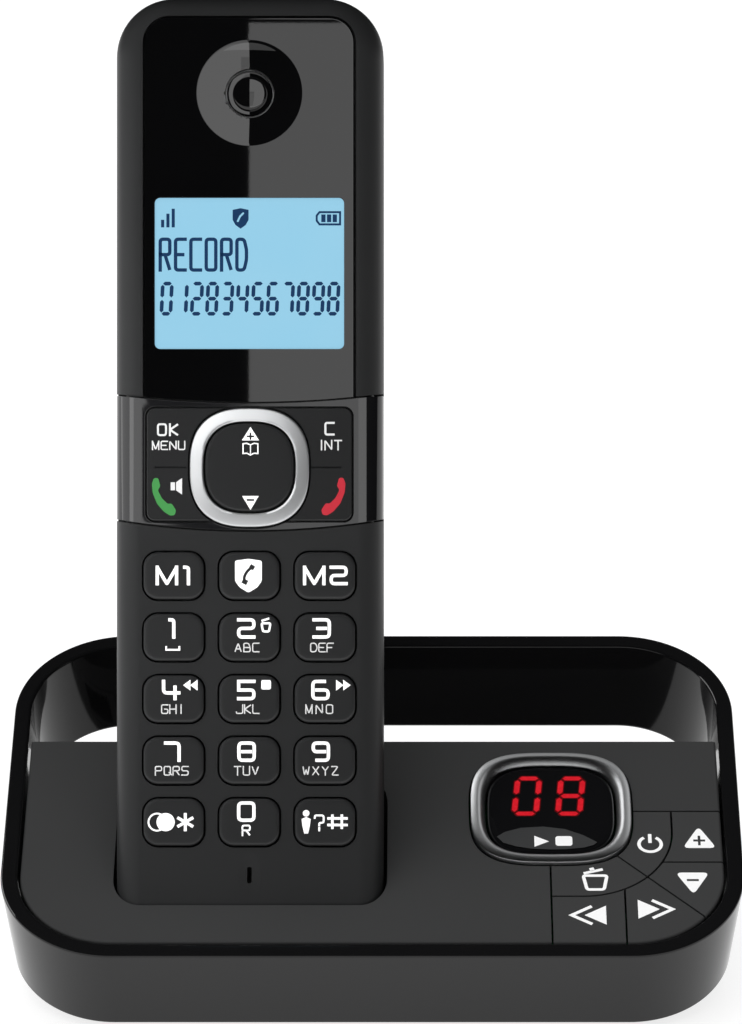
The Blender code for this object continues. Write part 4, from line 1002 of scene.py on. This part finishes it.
def handset_outline(inset):
    half = HANDSET_WIDTH / 2 - inset
    return rounded(
        -half, half, inset, HANDSET_LENGTH - inset, TOP_CORNER - inset, FOOT_CORNER - inset, steps=18
    )


def window_outline(outward):
    half = 18.4 + outward
    foot = along("collar_top") - 1.4
    return rounded(-half, half, foot, HANDSET_LENGTH - 3.66 + outward, 4.4 + outward, 0)


def saddle_outline(outward, reach=30, steps=24):
    """The gloss saddle's band. Both its edges sag in the middle."""
    half = HANDSET_WIDTH / 2
    across = [reach * (2 * step / steps - 1) for step in range(steps + 1)]
    foot = along("collar_foot") - outward
    top = along("collar_top") + outward
    lower = [(x, foot + 1.9 * (x / half) ** 2) for x in across]
    upper = [(x, top + 1.4 * (x / half) ** 2) for x in reversed(across)]
    return lower + upper


def under_saddle(wall):
    """What lies below the saddle's wall, rounded about the same centre as the face's edge."""
    half = HANDSET_WIDTH / 2 - wall

    def sides(inset):
        left, right = inset - half, half - inset
        return [(left, 0), (right, 0), (right, HANDSET_LENGTH), (left, HANDSET_LENGTH)]

    profile = [(inset, height - wall) for inset, height in face_profile(20)]
    share = 1 - wall / FACE_EDGE
    profile = [(inset * share, -wall + (height + wall) * share) for inset, height in profile]
    profile[0] = (0, -20)
    return lofted("under_saddle", sides, profile)


def disc(radius, low, high, place, steps=64):
    outline = shifted(arc((0, 0), radius, 0, 2 * pi * (1 - 1 / steps), steps - 1), place)
    return prism(outline, low, high)


def spun(profile, place, steps=96):
    """A closed form turned from its (radius, height) profile, which starts and ends on the axis."""
    bm = bmesh.new()
    rings = []
    for radius, height in profile[1:-1]:
        ring = [
            bm.verts.new(
                (
                    place[0] + radius * cos(2 * pi * step / steps),
                    place[1] + radius * sin(2 * pi * step / steps),
                    height,
                )
            )
            for step in range(steps)
        ]
        rings.append(ring)
    for low, high in zip(rings, rings[1:]):
        for index in range(steps):
            after = (index + 1) % steps
            bm.faces.new((low[index], low[after], high[after], high[index]))
    for ring, (radius, height) in ((rings[0], profile[0]), (rings[-1], profile[-1])):
        tip = bm.verts.new((*place, height))
        for index in range(steps):
            bm.faces.new((tip, ring[index], ring[(index + 1) % steps]))
    bmesh.ops.recalc_face_normals(bm, faces=bm.faces)
    return object_of(bm, "turned")


KEY_WIDTH, KEY_HEIGHT, KEY_CORNER = 10.6, 8.3, 2.6
KEY_PITCH_X, KEY_PITCH_Y = 13.26, 10.8
KEY_ROWS = (
    ("key_memory_1", "key_shield", "key_memory_2"),
    ("key_1", "key_2", "key_3"),
    ("key_4", "key_5", "key_6"),
    ("key_7", "key_8", "key_9"),
    ("key_star", "key_0", "key_hash"),
)
KEY_PLACES = {
    name: ((column - 1) * KEY_PITCH_X, along("keys") - row * KEY_PITCH_Y)
    for row, names in enumerate(KEY_ROWS)
    for column, name in enumerate(names)
}


def key_outline(outward):
    half_width, half_height = KEY_WIDTH / 2 + outward, KEY_HEIGHT / 2 + outward
    return rounded(
        -half_width, half_width, -half_height, half_height, KEY_CORNER + outward, steps=10
    )


shell_plastic = moulded("shell_plastic", (0.0110, 0.0113, 0.0116), (0.0132, 0.0135, 0.0139), 0.4)
front_shell = lofted("front_shell", handset_outline, face_profile(PARTING))
groove = prism(saddle_outline(GAP), -20, 20)
groove = combined(groove, "DIFFERENCE", under_saddle(1.7))
slot = shifted(rounded(-0.4, 0.4, -1.45, 1.45, 0.38, steps=5), (0, along("microphone")))
scoop = []
for step in range(13):
    share = step / 12
    scoop.append((2.4 * share, -0.12 * (1 - share**2) ** 2))
scoop = spun(scoop[:-1] + [(2.4, 0), (2.4, 6), (0, 6)], (0, 0), 48)
stretch = Matrix.Translation((0, along("microphone"), 0.01)) @ Matrix.Diagonal((1, 2.1, 1, 1))
cutters = [
    lofted("hollow", lambda inset: handset_outline(2.9 + inset), [(0, -20), (0, -3.0)]),
    prism(window_outline(GAP), -1.6, 20),
    groove,
    prism(
        shifted(rounded(-17.6, 17.6, -14.25, 14.25, 1.3), (0, along("lcd"))), -20, 20
    ),
    disc(10.6, -20, 20, (0, along("dish"))),
    moved(scoop, stretch),
    prism(slot, -20, 20),
]
for name, place in KEY_PLACES.items():
    cutters.append(prism(shifted(key_outline(GAP), place), -20, 20))
front_shell = combined(front_shell, "DIFFERENCE", *cutters)
front_piece = finished("front_shell", front_shell, HANDSET, [shell_plastic], 0.1)
fit(front_piece, "handset", "black_matt", "handset_front_shell")

BACK_PROFILE = [(0, -PARTING - GAP), (0, -18)]
for step in range(1, 11):
    turn = 0.5 * pi * step / 10
    BACK_PROFILE.append((6 * (1 - cos(turn)), -18 - 6 * sin(turn)))
rear_shell = lofted("rear_shell", handset_outline, BACK_PROFILE)
inner = lofted("inner", lambda inset: handset_outline(2.9 + inset), [(0, 0), (0, -20.5)])
rear_shell = combined(rear_shell, "DIFFERENCE", inner)
rear_shell = combined(rear_shell, "UNION", block(-12.55, 12.55, 44.6, 94.9, -21.3, -10.0))


def door_outline(outward, further=0):
    half = 15 + outward
    return rounded(-half, half, 44 - outward - further, 102 + outward, 2 + outward)


cutters = [
    block(-11.15, 11.15, 46, 93.1, -40, -10.9),
    prism(door_outline(GAP, 8.3), -40, -22.1),
]
for row in range(5):
    y = along("handsfree") + 3 * (row - 2)
    slot = rounded(-6, 6, y - 0.6, y + 0.6, 0.55, steps=5)
    cutters.append(prism(slot, -40, -20.3))
for side in (-1, 1):
    cutters.append(block(side * 9 - 2.8, side * 9 + 2.8, -6, 0.9, -15.9, -12.1))
rear_shell = combined(rear_shell, "DIFFERENCE", *cutters)
rear_piece = finished("rear_shell", rear_shell, HANDSET, [shell_plastic], 0.12)
fit(rear_piece, "handset", "black_matt", "handset_rear_shell")

door = lofted("door", lambda inset: door_outline(-inset), eased(-24, -22.4, 0.35, 0, 3))
grips = [block(-6, 6, y - 0.45, y + 0.45, -24.5, -23.2) for y in (48.4, 50.6, 52.8)]
door = combined(door, "UNION", *grips)
door_piece = finished("door_with_grip", door, HANDSET, [shell_plastic], 0.2)
fit(door_piece, "battery_door", "black_matt", "battery_door")


# Gloss window, ear dish and display
# A thin polished window fills the face above the function keys. A shallow dish for the ear is formed
# in it round a raised button, and the lit blue display lies in a shallow step.

window_plastic = polished("window_plastic", (0.0022, 0.0022, 0.0024), 0.01, 0.01)
window = lofted("window", lambda inset: window_outline(-inset), eased(-1.3, 0, 0, 0.3, 3))
window = combined(window, "UNION", disc(10.3, -2.5, -0.65, (0, along("dish"))))
radius, depth = 9.3, 1.5
curve = (radius**2 + depth**2) / (2 * depth)
bowl = [(0, -depth)]
for step in range(1, 17):
    reach = radius * step / 16
    bowl.append((reach, curve - depth - (curve**2 - reach**2) ** 0.5))
bowl += [(radius, 6), (0, 6)]
window = combined(
    window,
    "DIFFERENCE",
    spun(bowl, (0, along("dish")), 128),
    disc(4.3, -20, 20, (0, along("dish")), 96),
    prism(saddle_outline(GAP), -20, 20),
    prism(shifted(rounded(-16.7, 16.7, -13.35, 13.35, 1.0), (0, along("lcd"))), -0.35, 20),
)
window_piece = finished("gloss_window", window, HANDSET, [window_plastic], 0.06)
fit(window_piece, "handset", "black_gloss", "screen_window")

button = [(0, -1.0)]
for step in range(1, 11):
    turn = 0.5 * pi * step / 10
    button.append((2.95 * sin(turn) ** 0.9, -1.0 - 0.55 * (1 - cos(turn))))
button += [(3.0, -2.1), (3.55, -2.05), (3.85, -1.9), (4.0, -2.05), (4.0, -2.9), (0, -2.9)]
button_piece = finished(
    "earpiece_button", spun(button, (0, along("dish"))), HANDSET, [window_plastic]
)
fit(button_piece, "handset", "black_gloss", "earpiece_cap")

panel_blue = Finish("lit_panel", Roughness=0.35, Specular_IOR_Level=0.1, Emission_Strength=0.57)
cloudy = panel_blue.noise(60, 2)
pane = panel_blue.blend(cloudy, (0.13, 0.26, 0.34, 1), (0.15, 0.27, 0.34, 1))
panel_blue.set("Base Color", pane)
pane = panel_blue.blend(cloudy, (0.27, 0.60, 0.81, 1), (0.31, 0.62, 0.81, 1))
panel_blue.set("Emission Color", pane)
# The display's ink has a painted glow.
ink_blue = printed("display_ink", (0.001, 0.03, 0.10), 0.2)

# Strokes of each sign on a grid 4 wide and 6 high
STROKES = {
    "A": "00 26 40/12 32", "B": "00 06 36 43 33 03/33 43 40 00", "C": "46 06 00 40",
    "D": "00 06 36 44 42 30 00", "E": "46 06 00 40/03 33", "F": "46 06 00/03 33",
    "G": "46 06 00 40 43 23", "H": "00 06/40 46/03 43", "I": "20 26", "J": "01 00 40 46",
    "K": "00 06/46 03 40", "L": "06 00 40", "M": "00 06/06 20 46/46 40", "N": "00 06 40 46",
    "O": "00 06 46 40 00", "P": "00 06 46 43 03", "Q": "00 06 46 40 00/32 50",
    "R": "00 06 46 43 03/23 40", "S": "46 06 03 43 40 00", "T": "06 46/26 20",
    "U": "06 00 40 46", "V": "06 20 46", "W": "06 10 24 30 46", "X": "00 46/06 40",
    "Y": "06 23 46/23 20", "Z": "06 46 00 40", "0": "00 06 46 40 00", "1": "16 26 20",
    "2": "06 46 43 03 00 40", "3": "06 46 40 00/13 33", "4": "06 02 42/34 30",
    "5": "46 06/06 03/03 43 40 00", "6": "36 06 00 40 43 13", "7": "06 46 40",
    "8": "00 06 46 40 00/13 33", "9": "33 03 06 46 40 10", "?": "05 06 46 43 23 22/20 21",
}


def lettered(bm, text, left, foot, width, height, pitch, stroke, level, material, corner=0.6):
    """A line of signs from left to right. Width and height are of one sign, to its outer edges."""
    across, up = (width - stroke) / 4, (height - stroke) / 6
    for index, sign in enumerate(text):
        for above, line in enumerate(STROKES[sign].split("/")):
            points = [
                (
                    left + index * pitch + stroke / 2 + int(token[0]) * across,
                    foot + stroke / 2 + int(token[1]) * up,
                )
                for token in line.split()
            ]
            closed = points[0] == points[-1] and len(points) > 2
            if closed:
                points.pop()
            elif len(points) > 1:
                for end, other in ((0, 1), (-1, -2)):
                    out = (Vector(points[end]) - Vector(points[other])).normalized() * stroke / 2
                    straight = abs(out.x) < 1e-6 or abs(out.y) < 1e-6
                    if straight:
                        points[end] = (points[end][0] + out.x, points[end][1] + out.y)
            path = softened(points, corner, closed)
            ribbon(bm, path, stroke, level + 0.004 * above, material, closed)


PICTURE_TOP = -0.25
picture = lofted(
    "picture",
    lambda inset: shifted(rounded(-16.6, 16.6, -13.25, 13.25, 0.95), (0, along("lcd"))),
    [(0, -0.6), (0, PICTURE_TOP)],
)
left, top = -16.7, along("lcd") + 13.35
bm = opened(picture)
for index, height in enumerate((1.33, 2.4, 3.27)):
    x = left + 1.2 + 0.93 * index
    inlaid(bm, rounded(x, x + 0.55, top - 5.27, top - 5.27 + height, 0), PICTURE_TOP, 1)
shield = [(-1.4, 1.35), (-1.4, -0.4), (-0.9, -1.3), (0, -1.95), (0.9, -1.3), (1.4, -0.4)]
shield += [(1.4, 1.35), (0, 1.65)]
middle = (left + 15.15, top - 3.55)
inlaid(bm, shifted(shield, middle), PICTURE_TOP, 1)
slash = shifted([(-0.55, -0.75), (-0.1, 0.2), (0.55, 0.85)], middle)
ribbon(bm, slash, 0.32, PICTURE_TOP + 0.01, 0)
case = [(29.0, -2.6), (32.6, -2.6), (32.6, -4.75), (29.0, -4.75), (28.5, -4.1), (28.5, -3.2)]
ribbon(bm, shifted(case, (left, top)), 0.36, PICTURE_TOP, 1, closed=True)
for index in range(3):
    x = left + 29.3 + 1.0 * index
    inlaid(bm, rounded(x, x + 0.75, top - 4.35, top - 3.0, 0), PICTURE_TOP, 1)
lettered(bm, "RECORD", left + 0.75, top - 13.05, 2.28, 6.0, 2.69, 0.6, PICTURE_TOP, 1, corner=0.5)
for index, digit in enumerate("012834567898"):
    x = left + 1.05 + 2.66 * index
    for bar in figure(digit, x, top - 20.75, 2.25, 5.95, 0.66, 0.05):
        inlaid(bm, bar, PICTURE_TOP, 1)
stored(bm, picture)
picture_piece = finished("display_picture", picture, HANDSET, [panel_blue.material, ink_blue])
fit(picture_piece, "handset", "display_blue")


# Gloss saddle with the function keys
# A polished black saddle wraps the handset below the window. In it lie two gloss key plates, each with
# two functions, and between them a rocker in a satin chrome frame.

saddle_plastic = polished("saddle_plastic", (0.0045, 0.0045, 0.005), 0.05, 0.03)
saddle = lofted("saddle", handset_outline, face_profile(PARTING))
saddle = combined(saddle, "INTERSECT", prism(saddle_outline(0), -20, 20))


def function_outline(inset):
    half = 18.3 - inset
    return rounded(
        -half, half, along("function_foot") + inset, along("function_top") - inset, 1.75 - inset
    )


def navigation_outline(outward):
    return shifted(superellipse(10.5 + outward, 10.45 + outward, 2.6), (0, along("navigation")))


saddle = combined(
    saddle,
    "DIFFERENCE",
    under_saddle(1.4),
    prism(function_outline(0), -20, 20),
    prism(navigation_outline(GAP), -20, 20),
)
saddle_piece = finished("gloss_saddle", saddle, HANDSET, [saddle_plastic], 0.08)
fit(saddle_piece, "handset", "black_gloss", "function_collar")

NAVIGATION_PROFILE = [
    (0, -1.4), (0, 0.02), (0.06, 0.16), (0.2, 0.26), (0.5, 0.34), (1.2, 0.47), (1.85, 0.58),
    (2.15, 0.6), (2.33, 0.5), (2.4, 0.3), (2.4, -1.4),
]
navigation_frame = finished(
    "navigation_frame",
    lofted("frame", lambda inset: navigation_outline(-inset), NAVIGATION_PROFILE, hoop=True),
    HANDSET,
    [chrome.material],
)
fit(navigation_frame, "handset", "chrome", "navigation_ring")

function_plastic = polished("function_plastic", (0.0125, 0.0127, 0.013), 0.22, 0.06)
# These inks have a faint painted glow.
green_ink = printed("green_ink", (0.03, 0.19, 0.04), 0.08)
red_ink = printed("red_ink", (0.36, 0.010, 0.022), 0.1)
plate_ink = printed("plate_ink", (0.52, 0.52, 0.52), 0.08)


def handset_sign(bm, x, y, lean, level, material):
    """A small telephone receiver that lies along a bow, thickest at its two ends."""
    inner = [(-1.0, 3.3), (-0.6, 1.9), (-1.05, 1.15), (-0.35, -0.25), (0.7, -1.25)]
    inner += [(1.35, -1.15), (2.15, -2.35)]
    outer = [(-1.75, 3.3), (-2.1, 2.3), (-1.95, 0.7), (-1.2, -1.2), (0.0, -2.6)]
    outer += [(1.1, -3.3), (1.9, -3.2)]
    placed = [(x + lean * a, y + b) for a, b in inner[::-1] + outer]
    if lean < 0:
        placed.reverse()
    inlaid(bm, softened(placed, 0.3, closed=True), level, material)


def speaker_sign(bm, x, y, level, material):
    horn = [(x - 0.05, y - 0.7), (x + 1.0, y - 1.45), (x + 1.0, y + 1.45), (x - 0.05, y + 0.7)]
    inlaid(bm, horn, level, material)
    inlaid(bm, rounded(x - 1.0, x - 0.25, y - 0.7, y + 0.7, 0), level, material)


PLATE_TOP = 0.1
nav_y = along("navigation")
for name, side in (("call_key_plate", -1), ("end_key_plate", 1)):
    edge = eased(-1.0, PLATE_TOP, 0, 0.25, 3)
    key = lofted(name, lambda inset: function_outline(GAP + inset), edge)
    other = block(min(0, -30 * side), max(0, -30 * side), 0, 200, -20, 20)
    slit_x = (-16.6, -11.1) if side < 0 else (10.6, 16.1)
    slit = block(slit_x[0], slit_x[1], nav_y - 0.15, nav_y + 0.17, -0.4, 20)
    key = combined(key, "DIFFERENCE", other, prism(navigation_outline(GAP), -20, 20), slit)
    body = finished(name + "_cap", key, Matrix.Identity(4), [function_plastic], 0.06)
    bm = opened(body)
    if side < 0:
        lettered(bm, "OK", -16.2, nav_y + 5.5, 1.75, 2.25, 2.1, 0.34, PLATE_TOP, 1, 0.4)
        lettered(bm, "MENU", -17.1, nav_y + 3.05, 1.32, 1.65, 1.52, 0.22, PLATE_TOP, 1, 0.25)
        handset_sign(bm, -15.0, nav_y - 5.15, 1, PLATE_TOP, 2)
        speaker_sign(bm, -12.8, nav_y - 3.3, PLATE_TOP, 1)
    else:
        lettered(bm, "C", 13.15, nav_y + 5.6, 1.8, 2.4, 2.4, 0.36, PLATE_TOP, 1, 0.35)
        lettered(bm, "I", 12.0, nav_y + 3.0, 1.3, 1.85, 1.5, 0.24, PLATE_TOP, 1, 0.25)
        lettered(bm, "NT", 13.15, nav_y + 3.0, 1.4, 1.85, 1.7, 0.24, PLATE_TOP, 1, 0.25)
        handset_sign(bm, 14.75, nav_y - 5.1, -1, PLATE_TOP, 3)
    bm.transform(HANDSET)
    stored(bm, body)
    for ink in (plate_ink, green_ink, red_ink):
        body.data.materials.append(ink)
    fit(body, name, "black_gloss", name)

ROCKER_TOP = 0.4
rocker_plastic = moulded("rocker_plastic", (0.0105, 0.0108, 0.0112), (0.0125, 0.0128, 0.0132), 0.36)
rocker = lofted(
    "rocker",
    lambda inset: navigation_outline(-2.7 - inset),
    [(0, -1.0), (0, 0.0), (0.08, 0.2), (0.25, 0.34), (0.6, 0.4), (3.5, 0.4)],
)
bm = opened(rocker)
up_sign = [(-1.3, 4.75), (1.7, 4.75), (0.2, 7.1)]
inlaid(bm, shifted(up_sign, (0, nav_y)), ROCKER_TOP, 1)
ribbon(bm, shifted([(-0.45, 5.45), (0.85, 5.45)], (0, nav_y)), 0.3, ROCKER_TOP + 0.016, 0)
ribbon(bm, shifted([(0.2, 4.85), (0.2, 6.1)], (0, nav_y)), 0.3, ROCKER_TOP + 0.02, 0)
down_sign = [(0.2, -7.45), (1.65, -5.0), (-1.25, -5.0)]
inlaid(bm, shifted(down_sign, (0, nav_y)), ROCKER_TOP, 1)
ribbon(bm, shifted([(-0.45, -5.7), (0.85, -5.7)], (0, nav_y)), 0.34, ROCKER_TOP + 0.016, 0)
for way in (-1, 1):
    page = [(0, 2.2), (0.65, 2.5), (1.3, 2.45), (1.3, 4.15), (0.65, 4.25), (0, 3.95)]
    page = [(way * x, y) for x, y in page]
    ribbon(bm, shifted(page, (0.2, nav_y)), 0.2, ROCKER_TOP, 1, closed=True)
stored(bm, rocker)
rocker_piece = finished("rocker_cap", rocker, HANDSET, [rocker_plastic, white_ink])
fit(rocker_piece, "navigation_key", "key_grey", "navigation_key")


# Keypad
# Fifteen caps of satin plastic stand a little out of the face, each with rounded corners and a soft
# edge, and printed in white. A flange behind the face keeps each one in.

cap_plastic = moulded("cap_plastic", (0.0115, 0.0118, 0.0122), (0.0135, 0.0138, 0.0142), 0.36)
CAP_TOP = 0.6
CAP_PROFILE = [
    (-0.5, -3.9), (-0.5, -3.3), (0, -3.3), (0, 0.1), (0.05, 0.28), (0.16, 0.43), (0.34, 0.54),
    (0.6, 0.6), (1.1, 0.6),
]
LETTERS = {
    "key_2": "ABC", "key_3": "DEF", "key_4": "GHI", "key_5": "JKL", "key_6": "MNO",
    "key_7": "PQRS", "key_8": "TUV", "key_9": "WXYZ",
}
LETTERS_LEFT = {
    "2": -2.6, "3": -2.6, "4": -2.2, "5": -2.35, "6": -3.45, "7": -3.3, "8": -2.7, "9": -3.95,
}
LETTERS_PITCH = {"2": 1.55, "6": 1.8, "7": 1.55, "8": 1.55, "9": 1.68}
FIGURE_LEFT = {"1": -1.6, "3": -2.2, "4": -2.05, "6": -2.4, "7": -1.7, "8": -2.1, "9": -2.35}


def number_key(bm, name):
    """A large figure with its letters below it."""
    sign = name[-1]
    width = 2.95 if sign == "7" else 3.25
    foot = 0.1 if sign == "0" else -0.2
    left = FIGURE_LEFT.get(sign, -2.15)
    lettered(bm, sign, left, foot, width, 3.6, 4, 0.58, CAP_TOP, 1, 0.65)
    left, pitch = LETTERS_LEFT.get(sign, 0), LETTERS_PITCH.get(sign, 1.43)
    lettered(bm, LETTERS.get(name, ""), left, -2.6, 1.3, 1.7, pitch, 0.2, CAP_TOP, 2, 0.3)
    if sign == "1":
        path = [(-1.3, -1.5), (-1.3, -2.15), (1.0, -2.15), (1.0, -1.5)]
        ribbon(bm, path, 0.3, CAP_TOP, 1)
    elif sign == "0":
        lettered(bm, "R", -1.35, -2.4, 1.6, 2.0, 2, 0.3, CAP_TOP, 1, 0.3)
    elif sign == "2":
        can = [(2.15, 2.5), (2.4, 1.05), (3.45, 1.05), (3.7, 2.5)]
        ribbon(bm, softened(can, 0.3, closed=True), 0.38, CAP_TOP, 1, closed=True)
        ribbon(bm, [(2.15, 2.9), (3.5, 3.35)], 0.36, CAP_TOP, 1)
    elif sign == "4":
        for x in (1.65, 2.9):
            inlaid(bm, [(x, 2.45), (x + 1.3, 1.5), (x + 1.3, 3.4)], CAP_TOP, 1)
    elif sign == "5":
        inlaid(bm, rounded(2.1, 3.8, 1.7, 3.35, 0.3, steps=4), CAP_TOP, 1)
    elif sign == "6":
        for x in (1.95, 3.2):
            inlaid(bm, [(x, 1.5), (x + 1.3, 2.45), (x, 3.4)], CAP_TOP, 1)


def shield_key(bm):
    badge = [(-2.5, 2.65), (-2.5, -0.9), (-1.7, -2.0), (-0.15, -2.95), (1.4, -2.0), (2.2, -0.9)]
    badge += [(2.2, 2.65), (-0.15, 3.0)]
    inlaid(bm, softened(badge, 0.35, closed=True), CAP_TOP, 1)
    receiver = [(-0.75, -1.2), (-0.95, -0.3), (-0.45, 0.75), (0.55, 1.6)]
    ribbon(bm, softened(receiver, 0.9), 0.5, CAP_TOP + 0.006, 0)
    ribbon(bm, [(-1.2, -0.8), (-0.35, -1.25)], 0.85, CAP_TOP + 0.01, 0)
    ribbon(bm, [(0.1, 1.75), (0.85, 1.3)], 0.8, CAP_TOP + 0.01, 0)


def star_key(bm):
    """A moon in front of an outlined disc, and a star."""
    ribbon(bm, arc((-2.9, 0.05), 1.5, 0, 2 * pi * 29 / 30, 29), 0.3, CAP_TOP, 1, closed=True)
    inlaid(bm, arc((-1.4, 0.05), 1.6, 0, 2 * pi * 35 / 36, 35), CAP_TOP + 0.004, 1)
    for index, turn in enumerate((0, 60, 120)):
        way = Vector((sin(radians(turn)), cos(radians(turn)))) * 1.6
        bar = [(2.05 - way.x, 0.05 - way.y), (2.05 + way.x, 0.05 + way.y)]
        ribbon(bm, bar, 0.52, CAP_TOP + 0.004 * index, 1)


def hash_key(bm):
    """A small figure, a question mark and a hash."""
    inlaid(bm, arc((-3.3, 1.6), 0.58, 0, 2 * pi * 15 / 16, 15), CAP_TOP, 1)
    trunk = [(-4.1, 0.6), (-3.95, -0.6), (-3.65, -1.95), (-2.95, -1.95), (-2.65, -0.6), (-2.5, 0.6)]
    inlaid(bm, trunk + [(-3.3, 0.95)], CAP_TOP, 1)
    lettered(bm, "?", -1.95, -1.55, 1.9, 2.95, 2, 0.34, CAP_TOP, 1, 0.4)
    for y in (-0.45, 0.7):
        ribbon(bm, [(0.4, y), (4.0, y)], 0.45, CAP_TOP, 1)
    for x in (1.3, 2.95):
        ribbon(bm, [(x, -1.15), (x, 1.4)], 0.45, CAP_TOP + 0.004, 1)


for name, place in KEY_PLACES.items():
    cap = lofted(name, lambda inset: key_outline(-inset), CAP_PROFILE)
    body = finished(name + "_cap", cap, Matrix.Identity(4), [cap_plastic])
    bm = opened(body)
    if name == "key_shield":
        shield_key(bm)
    elif name == "key_star":
        star_key(bm)
    elif name == "key_hash":
        hash_key(bm)
    elif name.startswith("key_memory"):
        left = -3.15 if name[-1] == "1" else -3.85
        lettered(bm, "M", left, -1.65, 3.95, 3.45, 4, 0.56, CAP_TOP, 1, 0.1)
        left = 1.0 if name[-1] == "1" else 0.8
        lettered(bm, name[-1], left, -1.65, 3.2, 3.45, 4, 0.57, CAP_TOP, 1, 0.65)
    else:
        number_key(bm, name)
    bm.transform(HANDSET @ Matrix.Translation((*place, 0)))
    stored(bm, body)
    body.data.materials.append(white_ink)
    body.data.materials.append(plate_ink)
    fit(body, name, "key_grey", name)


# Cards beside the camera
# The polished parts mirror a dark room with pale cards in it. The right hand cards begin where the
# window's middle mirrors them, and each card is lit for the parts named with it.

FACE_OUT = Vector((0, -cos(LEAN), sin(LEAN)))
FACE_UP = Vector((0, sin(LEAN), cos(LEAN)))
CAMERA_DISTANCE = 0.8396
AXIS = CAMERA_PLACE - CAMERA_DISTANCE * FACE_OUT


def lit_by(light, pieces):
    """Only these pieces take that light."""
    lit = bpy.data.collections.new(light.name)
    for piece in pieces:
        lit.objects.link(piece)
    light.light_linking.receiver_collection = lit


def card(name, left, right, low, high, distance, radiance, pieces):
    """A card parallel to the handset's face, spanning world X and heights on the face's axis."""
    place = AXIS + (low + high) / 2 * FACE_UP + distance * FACE_OUT
    place.x = (left + right) / 2
    made = softbox(name, place, -FACE_OUT, right - left, high - low, radiance, "gloss")
    lit_by(made, pieces)


mirrors = [window_piece, button_piece, saddle_piece]
card("right_card", -0.0625, 0.06, -0.35, 0.2084, 1.2, 1.9, mirrors)
card("right_card_far", 0.06, 0.92, -1.1, 1.1, 1.2, 2.6, mirrors)
card("right_card_above", -0.0625, 0.06, 0.2165, 1.1, 1.2, 2.6, mirrors)
card("right_card_below", -0.0625, 0.06, -1.1, -0.35, 1.2, 2.6, mirrors)
card("left_card", -1.8, -0.125, -0.9, 0.9, 1.2, 2.4, [saddle_piece])
card("frame_card_left", -1.8, -0.15, 0.0, 1.3, 1.2, 1.9, [navigation_frame])
card("frame_card_low_left", -1.8, -0.35, -0.6, 0.0, 1.2, 0.6, [navigation_frame])
card("frame_card_above", -0.15, 0.3, 0.1, 1.3, 1.2, 1.4, [navigation_frame])
card("frame_card_right", 0.15, 1.8, -0.9, 0.9, 1.2, 0.12, [navigation_frame])


side = softbox("side_card", (-1.0, 0.0, 0.45), (1, 0, 0), 2.4, 1.2, 1.8, "gloss")
lit_by(side, [saddle_piece])
corner = softbox("corner_card", (-1.0, 0.35, 0.35), (1, -0.35, -0.2), 0.7, 0.5, 4.0, "gloss")
lit_by(corner, [loop])
centre = Vector((0.032, -0.02, 0.04))
for name, way, size, radiance in (
    ("bezel_card_left", (-0.6, 0.45, 0.65), 0.9, 1.9),
    ("bezel_card_right", (0.6, 0.45, 0.65), 0.7, 0.6),
    ("bezel_card_back", (0, 0.8, 0.65), 1.7, 0.28),
):
    way = Vector(way).normalized()
    lit_by(softbox(name, centre + 1.3 * way, -way, size, size, radiance, "gloss"), [bezel])

middle = Vector((-0.0215, -0.0055, 0.0934))
place = middle + Vector((-0.12, 0, 0)) + 0.07 * FACE_OUT + 0.02 * FACE_UP
near = softbox("near_strip", place, middle - place, 0.25, 0.05, 10, "diffuse")
on_handset = {"handset", "battery_door", "navigation_key", "call_key_plate", "end_key_plate"}
near_pieces = []
for piece in bpy.data.objects:
    body = piece.get("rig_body", "")
    if body in on_handset or body.startswith("key_"):
        if piece not in (picture_piece, window_piece, button_piece, navigation_frame):
            near_pieces.append(piece)
lit_by(near, near_pieces)


# What lies inside
# Circuit boards, loudspeakers, the microphone, the battery cells and the contacts keep their frame
# solids, each with its own finish: lacquer, plated steel, gold, shrink wrap and silicone.

board = Finish("board_lacquer", Roughness=0.35)
tracks = board.node(
    "ShaderNodeTexBrick",
    {},
    {
        "Vector": board.place,
        "Scale": 300,
        "Color1": (0.010, 0.10, 0.035, 1),
        "Color2": (0.014, 0.13, 0.045, 1),
        "Mortar": (0.006, 0.05, 0.02, 1),
    },
)
board.set("Base Color", tracks)
board.bump(board.noise(1500), 0.00001)

wrap = Finish("cell_wrap", Roughness=0.35)
band = wrap.node("ShaderNodeTexWave", {}, {"Vector": wrap.place, "Scale": 30, "Distortion": 0.6})
wrap.set("Base Color", wrap.blend(band, (0.03, 0.20, 0.07, 1), (0.05, 0.27, 0.11, 1)))
wrap.bump(wrap.noise(600), 0.00001)

silicone = moulded("mat_silicone", (0.05, 0.05, 0.052), (0.07, 0.07, 0.072), 0.6, 1500)
module_red = moulded("module_case", (0.05, 0.008, 0.009), (0.07, 0.012, 0.012), 0.35)
panel_glass = moulded("panel_glass", (0.20, 0.42, 0.55), (0.24, 0.47, 0.60), 0.2)

CARRIED = (
    (board.material, ("base_circuit_board", "handset_circuit_board")),
    (steel.material, ("base_loudspeaker", "receiver_capsule")),
    (steel.material, ("handsfree_loudspeaker", "battery_link_plate")),
    (gold.material, ("charge_pin_left", "charge_pin_right")),
    (gold.material, ("charge_plate_left", "charge_plate_right")),
    (wrap.material, ("battery_cell_left", "battery_cell_right")),
    (silicone, ("keypad_mat",)),
    (rubber, ("microphone_capsule",)),
    (module_red, ("digit_display",)),
    (panel_glass, ("lcd_panel",)),
)
for material, nodes in CARRIED:
    for node in nodes:
        mesh = frame["nodes"][node].data
        mesh.materials.clear()
        mesh.materials.append(material)
